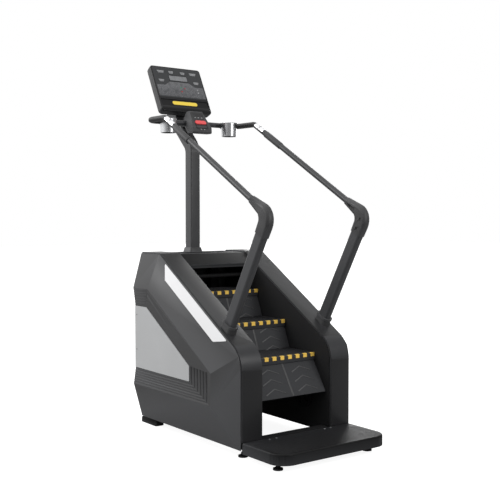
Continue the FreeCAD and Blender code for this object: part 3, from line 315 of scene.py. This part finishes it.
# %% [markdown]
# ### Printed dots
# A membrane is printed from behind with a screen of fine dots, and a smoked window has the dots of its
# display behind it. A cell pattern with one round dot in each cell draws both. Slow noise leaves some areas
# without ink, as the workout chart does.


# %% Dotted prints
INK_PATCH_MM = 22    # the size of the areas with and without ink


def dotted(name, ground, dots, pitch_mm):
    """A membrane with a screen of round dots printed on it. The dots are drawn coarse enough to show."""
    made, tree, place, shader = new_material(name)
    cells = add_node(tree, "ShaderNodeTexVoronoi", {"Vector": place, "Scale": 1 / (pitch_mm * MM),
                                                    "Randomness": 0.35})
    cloud = add_node(tree, "ShaderNodeTexNoise", {"Vector": place, "Scale": 1 / (INK_PATCH_MM * MM),
                                                  "Detail": 5.0})
    land = add_node(tree, "ShaderNodeMapRange", {"Value": cloud.outputs["Fac"], "From Min": 0.36,
                                                 "From Max": 0.50})
    dot = add_node(tree, "ShaderNodeMapRange", {"Value": cells.outputs["Distance"], "From Min": 0.30,
                                                "From Max": 0.45, "To Min": 1.0, "To Max": 0.0})
    ink = add_node(tree, "ShaderNodeMath", {0: land.outputs["Result"], 1: dot.outputs["Result"]},
                   operation="MULTIPLY")
    tone = add_node(tree, "ShaderNodeMix", {"Factor": ink.outputs["Value"], "A": linear(ground),
                                            "B": linear(dots)}, data_type="RGBA")
    bump = add_node(tree, "ShaderNodeBump", {"Height": ink.outputs["Value"], "Strength": 0.2,
                                             "Distance": 0.02 * MM})
    tree.links.new(tone.outputs["Result"], shader.inputs["Base Color"])
    tree.links.new(bump.outputs["Normal"], shader.inputs["Normal"])
    shader.inputs["Roughness"].default_value = 0.42
    shader.inputs["Specular IOR Level"].default_value = 0.4
    return made


FINISH["chart_field"] = dotted("printed polycarbonate, chart field", "#535456", "#8d8e92", 3.4)
FINISH["display_glass"] = dotted("smoked acrylic over a dot display", "#7d7e80", "#a2a3a6", 3.0)

# %% [markdown]
# ### Which piece gets which finish
# The record names a material slot for every CAD piece, and most pieces take the finish of the same name. A
# few look different on the machine though they share a slot: the frame's rails and inner plates are matt,
# and the mast is paler.

# %% Give each CAD piece its finish
INNER = ("rear_frame", "guard_bar", "base_rail_left", "base_rail_right", "base_cross_members",
         "side_wall_left", "side_wall_right")
slots = {entry["node"]: entry["material_slot"] for entry in frame["record"]["subparts"]}
finish_of = dict(slots, elbow_screws="dark_steel", mast="mast_paint", mast_boot="mast_paint",
                 top_tray="tray_plastic", console_strip="strip_yellow",
                 **{name: "inner_paint" for name in INNER})
for name, solid in frame["nodes"].items():
    solid.data.materials.clear()
    solid.data.materials.append(FINISH[finish_of[name]])
print(len(slots), "CAD pieces finished")

# %% [markdown]
# ## Soft edges on the covers
# A moulded shell never has a knife edge: the tool leaves a radius of a few millimetres, and that thin
# bright line is what makes the cover look real. Here each visible cover is copied, its loose triangles are
# merged and flat ones joined, and a bevel rounds the long edges. Only long edges are picked, by their
# length and by the angle between their faces, because the fine grooves can't hold a radius.


# %% Helpers for shaping
SMOOTH_DEG = 35      # edges that turn by less than this are shaded smooth
MERGE_MM = 0.02      # loose corners nearer than this are one corner
FLAT_DEG = 0.4       # faces that turn by less than this are one face
STEEPEST_DEG = 100   # an edge sharper than this is a fold back, and keeps its edge


def hold(piece):
    """Make one piece the only selected and active object."""
    deselect()
    piece.select_set(True)
    bpy.context.view_layer.objects.active = piece


def pick(piece, kind, test):
    """In edit mode, select the verts, edges or faces that pass a test, and count them."""
    bpy.ops.mesh.select_mode(type=kind)
    bpy.ops.mesh.select_all(action="DESELECT")
    mesh = bmesh.from_edit_mesh(piece.data)
    items = {"VERT": mesh.verts, "EDGE": mesh.edges, "FACE": mesh.faces}[kind]
    chosen = [item for item in items if test(item)]
    for item in chosen:
        item.select_set(True)
    bmesh.update_edit_mesh(piece.data)
    return len(chosen)


def finished(piece, name, finish, body):
    """Name a new piece and give it smooth shading, its finish and the body that it moves with."""
    piece.name = name
    piece.data.name = name
    hold(piece)
    bpy.ops.object.shade_smooth_by_angle(angle=math.radians(SMOOTH_DEG))
    piece.data.materials.clear()
    piece.data.materials.append(FINISH[finish])
    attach(piece, body)


def cover_from(node, radius_mm, shortest_mm, least_deg=12):
    """A copy of a CAD cover with its long edges rounded, standing for that node."""
    deselect()
    solid = frame["nodes"][node]
    piece = bpy.data.objects.new(node + "_soft", solid.data.copy())
    bpy.context.scene.collection.objects.link(piece)
    hold(piece)
    bpy.ops.object.mode_set(mode="EDIT")
    bpy.ops.mesh.select_all(action="SELECT")
    bpy.ops.mesh.remove_doubles(threshold=MERGE_MM * MM)
    bpy.ops.mesh.dissolve_limited(angle_limit=math.radians(FLAT_DEG))

    def long_edge(edge):
        if len(edge.link_faces) != 2 or edge.calc_length() < shortest_mm * MM:
            return False
        turn = math.degrees(edge.calc_face_angle())
        return least_deg <= turn <= STEEPEST_DEG

    count = pick(piece, "EDGE", long_edge)
    if count:
        bpy.ops.mesh.bevel(offset=radius_mm * MM, segments=3, affect="EDGES", clamp_overlap=True)
    bpy.ops.object.mode_set(mode="OBJECT")
    finished(piece, node + "_soft", finish_of[node], solid["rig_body"])
    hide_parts(node)
    print(node, count, "edges rounded,", len(piece.data.polygons), "faces")


# %% Round the covers
for side in ("left", "right"):
    cover_from(f"side_shroud_{side}", 5.0, shortest_mm=60)
    cover_from(f"side_channel_{side}", 3.0, shortest_mm=60)
    cover_from(f"elbow_cover_{side}", 5.0, shortest_mm=20)
    cover_from(f"rail_collar_{side}", 3.0, shortest_mm=12)
cover_from("keypad_pod", 5.0, shortest_mm=30)
cover_from("console_back", 8.0, shortest_mm=60)
cover_from("top_tray", 3.0, shortest_mm=60)
cover_from("mast", 4.0, shortest_mm=100, least_deg=20)
cover_from("mast_boot", 3.0, shortest_mm=30, least_deg=20)
cover_from("rear_cover", 3.0, shortest_mm=80)

# %% [markdown]
# ## Small raised pieces on a flat face
# Keys, labels, ribs and screws all sit on faces that the CAD frame already has, most of them leaning. So
# each detail is modelled upright at the origin, a few millimetres thick, and then settled on its face. The
# face is read from the CAD mesh: the largest one that leans back by an angle in a given range.


# %% Where a face lies
def face_of(node, least=-10, most=60):
    """The turn, depth and box (metres) of a node's largest face that leans back between two angles."""
    solid = frame["nodes"][node].data
    groups = {}
    for face in solid.polygons:
        lean = math.atan2(face.normal.z, -face.normal.y)
        if abs(face.normal.x) < 0.02 and least <= math.degrees(lean) <= most:
            depth = (Matrix.Rotation(lean, 3, "X") @ face.center).y
            key = (round(lean, 2), round(depth, 3))
            groups[key] = (groups.get(key, (0,))[0] + face.area, lean, depth)
    _, lean, depth = max(groups.values())
    points = [Matrix.Rotation(lean, 3, "X") @ vertex.co for vertex in solid.vertices]
    low = Vector([min(point[i] for point in points) for i in range(3)])
    high = Vector([max(point[i] for point in points) for i in range(3)])
    return {"turn": Matrix.Rotation(-lean, 4, "X"), "depth": depth, "low": low, "high": high}


def spot(face, x, z):
    """A place on a face: x from the middle and z up from its lower edge, in millimetres."""
    return face["turn"] @ Matrix.Translation((x * MM, face["depth"], face["low"].z + z * MM))


def settle(piece, place):
    """Move and turn a piece to its place, and leave that place in its mesh."""
    hold(piece)
    piece.matrix_world = place
    bpy.ops.object.transform_apply(location=True, rotation=True, scale=True)
    return piece


def copy_at(piece, place):
    """A copy of an unplaced piece, with its own mesh, settled at a place."""
    twin = piece.copy()
    twin.data = piece.data.copy()
    bpy.context.scene.collection.objects.link(twin)
    return settle(twin, place)


def joined(pieces, name):
    """Several small pieces as one named mesh."""
    deselect()
    for piece in pieces:
        piece.select_set(True)
    bpy.context.view_layer.objects.active = pieces[0]
    if len(pieces) > 1:
        bpy.ops.object.join()
    pieces[0].name = name
    pieces[0].data.name = name
    return pieces[0]


def row_of(pattern, places, name):
    """Copies of one pattern piece at many places, joined under a name. The pattern itself is removed."""
    made = joined([copy_at(pattern, place) for place in places], name)
    bpy.data.objects.remove(pattern)
    return made


# %% [markdown]
# ### Tiles, rings and heads
# A tile or a ring starts as a flat outline that faces the climber. Its corners are rounded while it is
# flat, and then it is pulled forward, so that no corner has to be cut out of a solid. A rivet or a screw
# head is a short cylinder.


# %% Tiles, rings and heads
EDGE_SHARE = 0.35    # of a tile's rise is rounded off at its front edge
DOME_SHARE = 0.6     # of a head's rise is rounded off
RECESS_IN = 0.45     # of a screw's radius lies outside its recess
RECESS_DEEP = 0.6    # of a screw's rise


def raise_face(piece, rise):
    """Pull a flat outline forward into a closed tile, and round its front edge."""
    bpy.ops.mesh.select_all(action="SELECT")
    bpy.ops.mesh.extrude_region_move(TRANSFORM_OT_translate={"value": (0, -rise * MM, 0)})
    pick(piece, "EDGE", lambda edge: max(v.co.y for v in edge.verts) < -0.5 * rise * MM
         and any(abs(face.normal.y) < 0.5 for face in edge.link_faces))
    bpy.ops.mesh.bevel(offset=EDGE_SHARE * rise * MM, segments=2, affect="EDGES")
    bpy.ops.mesh.select_all(action="SELECT")
    bpy.ops.mesh.normals_make_consistent(inside=False)
    bpy.ops.object.mode_set(mode="OBJECT")
    return piece


def sheet_outline(width, height):
    """A flat upright sheet that faces the climber, in edit mode."""
    deselect()
    bpy.ops.mesh.primitive_plane_add(size=1, rotation=(math.pi / 2, 0, 0))
    piece = bpy.context.object
    piece.scale = (width * MM, height * MM, 1)
    bpy.ops.object.transform_apply(location=False, rotation=True, scale=True)
    bpy.ops.object.mode_set(mode="EDIT")
    bpy.ops.mesh.select_all(action="SELECT")
    return piece


def tile(width, height, rise, corner):
    """A thin tile with rounded corners that stands out from its face."""
    piece = sheet_outline(width, height)
    bpy.ops.mesh.bevel(offset=corner * MM, segments=3, affect="VERTICES")
    return raise_face(piece, rise)


def ring(width, height, band, rise, corner):
    """A raised frame round a window or a key."""
    piece = sheet_outline(width, height)
    bpy.ops.mesh.bevel(offset=corner * MM, segments=3, affect="VERTICES")
    bpy.ops.mesh.select_all(action="SELECT")
    bpy.ops.mesh.inset(thickness=band * MM)
    bpy.ops.mesh.delete(type="FACE")
    return raise_face(piece, rise)


def chevron(width, peak, line, rise):
    """A raised strip that climbs to a peak in its middle."""
    piece = sheet_outline(width, line)
    bpy.ops.mesh.subdivide(number_cuts=1)
    pick(piece, "VERT", lambda vertex: abs(vertex.co.x) < 0.1 * MM)
    bpy.ops.transform.translate(value=(0, 0, peak * MM))
    return raise_face(piece, rise)


def round_head(radius, rise, sides=20):
    """A low round head, such as a rivet's or a lamp's, that stands out from its face."""
    deselect()
    bpy.ops.mesh.primitive_cylinder_add(vertices=sides, radius=radius * MM, depth=rise * MM,
                                        rotation=(math.pi / 2, 0, 0), location=(0, -rise * MM / 2, 0))
    piece = bpy.context.object
    bpy.ops.object.transform_apply(location=True, rotation=True, scale=True)
    bpy.ops.object.mode_set(mode="EDIT")
    pick(piece, "EDGE", lambda edge: max(v.co.y for v in edge.verts) < -0.5 * rise * MM)
    bpy.ops.mesh.bevel(offset=DOME_SHARE * rise * MM, segments=3, affect="EDGES")
    bpy.ops.object.mode_set(mode="OBJECT")
    return piece


def screw_head(radius, rise):
    """A round head with a round recess for the driver sunk in it."""
    piece = round_head(radius, rise, 24)
    bpy.ops.object.mode_set(mode="EDIT")
    pick(piece, "FACE", lambda face: face.normal.y < -0.99 and len(face.verts) > 6)
    bpy.ops.mesh.inset(thickness=RECESS_IN * radius * MM)
    bpy.ops.mesh.extrude_region_move(TRANSFORM_OT_translate={"value": (0, RECESS_DEEP * rise * MM, 0)})
    bpy.ops.object.mode_set(mode="OBJECT")
    return piece


def on_surface(node, start, toward):
    """The place where a ray from a point (metres) meets a node, with the detail's back on that surface."""
    toward = Vector(toward)
    shown = bpy.data.objects.get(node + "_soft") or frame["nodes"][node]
    hit, where, normal, _ = shown.ray_cast(Vector(start), toward.normalized())
    if not hit:
        raise ValueError(f"no surface of {node} that way")
    if normal.dot(toward) > 0:
        normal = -normal
    return Matrix.Translation(where) @ Vector((0, -1, 0)).rotation_difference(normal).to_matrix().to_4x4()


print("helpers ready")

# %% [markdown]
# ## The console's face
# The real face is a printed polycarbonate membrane behind which the lamps shine: two rows of labels, a
# smoked window over a dot display, a paler field with the workout chart, a few lamps, a divider and a
# rounded lip at the bottom. The prints are tiles less than half a millimetre high, and the lamps, the
# frame, the divider and the lip stand out by one to three millimetres. The labels' lettering is left out
# and short bars stand for it.

# %% Labels, lamps and frames on the console
CONSOLE_BODY = frame["nodes"]["console_housing"]["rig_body"]
panel = face_of("console_housing")
overlay = face_of("console_overlay")
overlay["low"] = panel["low"]

LABELS = [(side * x, z, width) for side in (-1, 1) for x, z, width in ((121, 297, 50), (43.5, 297, 34),
                                                                       (130.5, 229, 38))]
upper_bars = row_of(tile(1000, 8.5, 0.4, 2.0),
                    [spot(overlay, x, z + 4.5) @ Matrix.Scale(width / 1000, 4, (1, 0, 0))
                     for x, z, width in LABELS], "upper_bars")
lower_bars = row_of(tile(1000, 6.5, 0.4, 2.0),
                    [spot(overlay, x, z - 5) @ Matrix.Scale(0.8 * width / 1000, 4, (1, 0, 0))
                     for x, z, width in LABELS], "lower_bars")
finished(joined([upper_bars, lower_bars], "console_labels"), "console_labels", "print_grey",
         CONSOLE_BODY)

FIELD_LOW = 114
FIELD_SHOULDER = 196
FIELD_TOP = 224
FIELD_HALF = 72      # half the width of its tall middle part
FIELD_SLOPE = 40     # the width over which its top edge drops to the shoulder
FIELD_ARM = 62
NEAR = 0.1 * MM
field = sheet_outline(2 * FIELD_HALF, FIELD_TOP - FIELD_LOW)
half_tall = (FIELD_TOP - FIELD_LOW) / 2
for side in (-1, 1):
    pick(field, "EDGE", lambda edge: all(abs(v.co.x - side * FIELD_HALF * MM) < NEAR for v in edge.verts))
    bpy.ops.mesh.extrude_region_move(TRANSFORM_OT_translate={"value": (side * FIELD_SLOPE * MM, 0, 0)})
    knee = side * (FIELD_HALF + FIELD_SLOPE) * MM
    pick(field, "VERT", lambda v: abs(v.co.x - knee) < NEAR and v.co.z > 0)
    bpy.ops.transform.translate(value=(0, 0, (FIELD_SHOULDER - FIELD_TOP) * MM))
    pick(field, "EDGE", lambda edge: all(abs(v.co.x - knee) < NEAR for v in edge.verts))
    bpy.ops.mesh.extrude_region_move(TRANSFORM_OT_translate={"value": (side * FIELD_ARM * MM, 0, 0)})
raise_face(field, 0.4)
settle(field, spot(overlay, 0, FIELD_LOW + half_tall))
finished(field, "console_chart_field", "chart_field", CONSOLE_BODY)

for name, finish, size, places in (("console_lamp_green", "lamp_green", 4.5, [(2, 184)]),
                                   ("console_lamps_red", "lamp_red", 4.5, [(2, 155), (30, 180)]),
                                   ("console_lamps_white", "lamp_white", 3.5, [(127, 178), (128, 156)])):
    lamps = row_of(round_head(size, 1.4), [spot(overlay, x, z) for x, z in places], name)
    finished(lamps, name, finish, CONSOLE_BODY)

window_frame = ring(width=140, height=44, band=3.5, rise=1.6, corner=3)
settle(window_frame, spot(overlay, 0, 254))
finished(window_frame, "console_window_frame", "console_gloss", CONSOLE_BODY)
divider = settle(tile(width=364, height=7, rise=1.8, corner=3), spot(panel, 0, 99))
finished(divider, "console_divider", "lip_gloss", CONSOLE_BODY)
lip = settle(tile(width=360, height=32, rise=2.5, corner=12), spot(panel, 0, 22))
finished(lip, "console_lower_lip", "lip_gloss", CONSOLE_BODY)
print("console face: depth", round(panel["depth"], 4), "overlay", round(overlay["depth"], 4),
      "height", round(panel["high"].z - panel["low"].z, 3))

# %% [markdown]
# ## The stop pod
# Below the console, a small pod carries the red stop button in a frame, two rows of small marks above it
# and one below. They are printed on the same leaning face, so they are tiles too.

# %% Marks round the stop button
POD_BODY = frame["nodes"]["keypad_pod"]["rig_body"]
pod = face_of("keypad_pod", 10, 60)
grey_marks = [(-24, 104), (0, 104), (24, 104), (-12, 12), (12, 12)]
red_marks = [(-22, 80), (0, 80), (22, 80)]
marks = row_of(tile(11, 6, 0.4, 2), [spot(pod, x, z) for x, z in grey_marks], "pod_marks_grey")
finished(marks, "pod_marks_grey", "print_grey", POD_BODY)
marks = row_of(tile(9, 8, 0.4, 3), [spot(pod, x, z) for x, z in red_marks], "pod_marks_red")
finished(marks, "pod_marks_red", "print_red", POD_BODY)
bezel = settle(ring(width=86, height=36, band=4, rise=2.2, corner=6), spot(pod, 0, 37))
finished(bezel, "stop_button_frame", "lip_gloss", POD_BODY)
print("pod face leans, depth", round(pod["depth"], 4))

# %% [markdown]
# ## Chevrons, ribs and grips where feet and hands go
# Every riser has two columns of raised chevrons and a rib down its middle, moulded in one with the plate.
# The tread tops and the platform have low ribs across them, so that a shoe doesn't slip.

# %% Chevrons on the risers and ribs on the treads
CHEVRON_COLUMN = 112
CHEVRON_PITCH = 57
for k in (1, 2, 3):
    node = f"step_riser_{k}"
    body = frame["nodes"][node]["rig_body"]
    riser = face_of(node, -20, 80)
    tall = (riser["high"].z - riser["low"].z) / MM
    places = [spot(riser, side * CHEVRON_COLUMN, tall / 2 + row * CHEVRON_PITCH - 18)
              for side in (-1, 1) for row in (-1, 0, 1)]
    chevrons = row_of(chevron(width=136, peak=30, line=7, rise=1.6), places, f"riser_chevrons_{k}")
    rib = settle(tile(12, tall - 8, 1.6, 2), spot(riser, 0, tall / 2))
    finished(joined([chevrons, rib], f"riser_relief_{k}"), f"riser_relief_{k}", "tread_relief",
             body)
    tread = face_of(f"step_tread_{k}", 80, 100)
    deep = (tread["high"].z - tread["low"].z) / MM
    places = [spot(tread, 0, z) for z in range(30, int(deep) - 12, 14)]
    ribs = row_of(tile(440, 4, 1.2, 1.5), places, f"tread_ribs_{k}")
    finished(ribs, f"tread_ribs_{k}", "tread_plastic", body)
    print(node, "slanted height", round(tall), "mm,", len(places), "ribs on its tread")

# %% Ribs on the platform
deck = face_of("platform_deck", 80, 100)
deck_half = deck["high"].x / MM
deck_deep = (deck["high"].z - deck["low"].z) / MM
CORNER = 90
EDGE_CLEAR = 22
places = []
for z in range(EDGE_CLEAR + 4, int(deck_deep) - 60, 13):
    inset = CORNER - math.sqrt(CORNER ** 2 - max(CORNER - z, 0) ** 2)
    half = deck_half - EDGE_CLEAR - inset
    places.append(spot(deck, 0, z) @ Matrix.Scale(2 * half / 1000, 4, (1, 0, 0)))
ribs = row_of(tile(1000, 5, 0.6, 2), places, "platform_ribs")
finished(ribs, "platform_ribs", "platform_plastic",
         frame["nodes"]["platform_deck"]["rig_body"])
print(len(places), "platform ribs")

# %% [markdown]
# ## Cups, grips and screws
# The two drink holders are drawn steel cups with a rolled rim. A drawn cup is one continuous wall, so it is
# made from a cylinder whose top is opened, given its wall by Solidify, and finished with a bead for the
# rim. It takes its place and radius from the CAD cup holder, and that holder stays shown with it. The foam
# sleeves on the upper rails are cylinders with rounded ends round the rail. Each takes its direction from
# the longest edge of the rail's mesh, and ends below the sensor plates.


# %% Drink cups
CUP_TALL = 84        # millimetres from its floor to its rim
CUP_CORNER = 5       # the radius between its floor and its wall
CUP_WALL = 1.6
BEAD_RADIUS = 2.4
BEAD_IN = 0.6        # the bead's middle lies this far inside the wall's outer face
BEAD_DOWN = 1.2


def drink_cup(side):
    """A drawn cup with a rolled rim, at the place of one CAD holder."""
    node = f"cup_holder_{side}"
    low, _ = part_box(node)
    solid = frame["nodes"][node].data
    floor_points = [v.co for v in solid.vertices if v.co.z < low.z + 1 * MM]
    left = min(point.x for point in floor_points)
    right = max(point.x for point in floor_points)
    front = min(point.y for point in floor_points)
    rear = max(point.y for point in floor_points)
    centre = Vector(((left + right) / 2, (front + rear) / 2, 0))
    radius = (right - left) / 2
    rim = low.z + CUP_TALL * MM
    deselect()
    bpy.ops.mesh.primitive_cylinder_add(vertices=64, radius=radius, depth=rim - low.z,
                                        location=(centre.x, centre.y, (rim + low.z) / 2))
    cup = bpy.context.object
    bpy.ops.object.transform_apply(location=True, rotation=True, scale=True)
    bpy.ops.object.mode_set(mode="EDIT")
    pick(cup, "FACE", lambda face: face.normal.z > 0.9)
    bpy.ops.mesh.delete(type="FACE")
    pick(cup, "EDGE", lambda edge: max(v.co.z for v in edge.verts) < low.z + 1 * MM)
    bpy.ops.mesh.bevel(offset=CUP_CORNER * MM, segments=4, affect="EDGES")
    bpy.ops.object.mode_set(mode="OBJECT")
    wall = cup.modifiers.new("wall", "SOLIDIFY")
    wall.thickness = CUP_WALL * MM
    wall.offset = -1
    hold(cup)
    bpy.ops.object.modifier_apply(modifier="wall")
    deselect()
    bpy.ops.mesh.primitive_torus_add(major_radius=radius - BEAD_IN * MM, minor_radius=BEAD_RADIUS * MM,
                                     major_segments=64, minor_segments=10,
                                     location=(centre.x, centre.y, rim - BEAD_DOWN * MM))
    bead = bpy.context.object
    bpy.ops.object.transform_apply(location=True, rotation=True, scale=True)
    cup = joined([cup, bead], f"drink_cup_{side}")
    print(cup.name, "radius", round(radius / MM), "mm, rim at", round(rim, 3))
    finished(cup, f"drink_cup_{side}", "polished_steel", frame["nodes"][node]["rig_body"])


for side in ("left", "right"):
    drink_cup(side)

# %% Foam sleeves on the upper rails
SLEEVE_RADIUS = 20.5
SLEEVE_LONG = 170
SLEEVE_GAP = 20      # below the sensor plates
for side, sign in (("left", -1), ("right", 1)):
    node = f"handrail_upper_{side}"
    rail = frame["nodes"][node].data
    ends = max(((rail.vertices[e.vertices[0]].co, rail.vertices[e.vertices[1]].co) for e in rail.edges),
               key=lambda pair: (pair[1] - pair[0]).length)
    along = (ends[1] - ends[0]).normalized()
    along = along if along.z > 0 else -along
    start = min(vertex.co.dot(along) for vertex in rail.vertices)
    foot_ring = [v.co for v in rail.vertices if v.co.dot(along) < start + 1 * MM]
    middle = sum(foot_ring, Vector()) / len(foot_ring)
    plates = [v.co for v in frame["nodes"]["pulse_sensor_plates"].data.vertices if v.co.x * sign > 0]
    top = min(point.dot(along) for point in plates) - start - SLEEVE_GAP * MM
    deselect()
    bpy.ops.mesh.primitive_cylinder_add(vertices=40, radius=SLEEVE_RADIUS * MM, depth=SLEEVE_LONG * MM)
    sleeve = bpy.context.object
    bpy.ops.object.mode_set(mode="EDIT")
    pick(sleeve, "EDGE", lambda edge: abs(edge.verts[0].co.z - edge.verts[1].co.z) < 1 * MM)
    bpy.ops.mesh.bevel(offset=2.5 * MM, segments=3, affect="EDGES")
    bpy.ops.object.mode_set(mode="OBJECT")
    settle(sleeve, Matrix.Translation(middle + along * (top - SLEEVE_LONG * MM / 2))
           @ Vector((0, 0, 1)).rotation_difference(along).to_matrix().to_4x4())
    finished(sleeve, f"grip_sleeve_{side}", "grip_foam", frame["nodes"][node]["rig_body"])
    print("sleeve", side, "rail leans", round(math.degrees(math.asin(along.z)), 1), "degrees")

# %% [markdown]
# ## Screws, rivets and bolts
# Sheet covers are held by small screws with low round heads and a round recess. Two rivets hold the rear
# edge of each silver panel, and bolts clamp the platform to the frame's cross member. One head of each kind
# is modelled, and a ray finds the surface that it sits on.

# %% Fixings
panel_low, panel_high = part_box("inset_panels")
panel_tall = panel_high.z - panel_low.z
places = [on_surface("inset_panels", (sign * 0.7, panel_high.y - 0.022, panel_low.z + share * panel_tall),
                     (-sign, 0, 0)) for sign in (-1, 1) for share in (0.30, 0.86)]
finished(row_of(round_head(4, 1.6), places, "panel_rivets"), "panel_rivets", "bare_steel",
         frame["nodes"]["inset_panels"]["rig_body"])

_, deck_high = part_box("platform_deck")
places = [on_surface("platform_deck", (sign * x, deck_high.y - y, 0.6), (0, 0, -1))
          for sign in (-1, 1) for x, y in ((0.215, 0.022), (0.170, 0.022))]
finished(row_of(screw_head(6, 4), places, "platform_bolts"), "platform_bolts", "bare_steel",
         frame["nodes"]["platform_deck"]["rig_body"])

back_low, back_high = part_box("rear_cover")
back_tall = back_high.z - back_low.z
places = [on_surface("rear_cover", (sign * 0.19, back_high.y + 0.3, back_low.z + share * back_tall),
                     (0, -1, 0)) for sign in (-1, 1) for share in (0.14, 0.42, 0.68)]
finished(row_of(screw_head(5, 2), places, "rear_cover_screws"), "rear_cover_screws", "bare_steel",
         frame["nodes"]["rear_cover"]["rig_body"])

shell_low, shell_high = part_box("console_back")
shell_tall = shell_high.z - shell_low.z
places = [on_surface("console_back", (sign * 0.12, shell_high.y + 0.3, shell_low.z + share * shell_tall),
                     (0, -1, 0)) for sign in (-1, 1) for share in (0.45, 0.80)]
finished(row_of(screw_head(4, 1.6), places, "console_back_screws"), "console_back_screws", "bare_steel",
         CONSOLE_BODY)
print("fixings placed")

# %% [markdown]
# ## The filter behind the grille
# The rear cover's grille is open, and a machine like this keeps dust out with a sheet of woven filter mesh
# behind it. The mesh is a thin panel with a fine, square weave in its bump, laid on the inside of the
# cover.

# %% Filter mesh
WEAVE_MM = 2.5
FILTER_MIDDLE = 0.309   # metres above the floor
woven, tree, place, shader = new_material("woven polyester filter mesh")
threads = add_node(tree, "ShaderNodeTexVoronoi", {"Vector": place, "Scale": 1 / (WEAVE_MM * MM),
                                                  "Randomness": 0.0}, distance="CHEBYCHEV")
holes = add_node(tree, "ShaderNodeMapRange", {"Value": threads.outputs["Distance"], "From Min": 0.28,
                                              "From Max": 0.42})
tone = add_node(tree, "ShaderNodeMix", {"Factor": holes.outputs["Result"], "A": linear("#060607"),
                                        "B": linear("#1b1b1c")}, data_type="RGBA")
bump = add_node(tree, "ShaderNodeBump", {"Height": holes.outputs["Result"], "Strength": 0.5,
                                         "Distance": 0.2 * MM})
tree.links.new(tone.outputs["Result"], shader.inputs["Base Color"])
tree.links.new(bump.outputs["Normal"], shader.inputs["Normal"])
shader.inputs["Roughness"].default_value = 0.75
FINISH["filter_mesh"] = woven

inside = on_surface("rear_cover", (0.14, 0.45, 0.31), (0, 1, 0)).translation
screen = settle(tile(width=252, height=262, rise=2, corner=6),
                Matrix.Translation((0, inside.y - 1 * MM, FILTER_MIDDLE)))
finished(screen, "vent_filter", "filter_mesh", frame["nodes"]["rear_cover"]["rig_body"])
print("filter lies at", round(inside.y, 4))
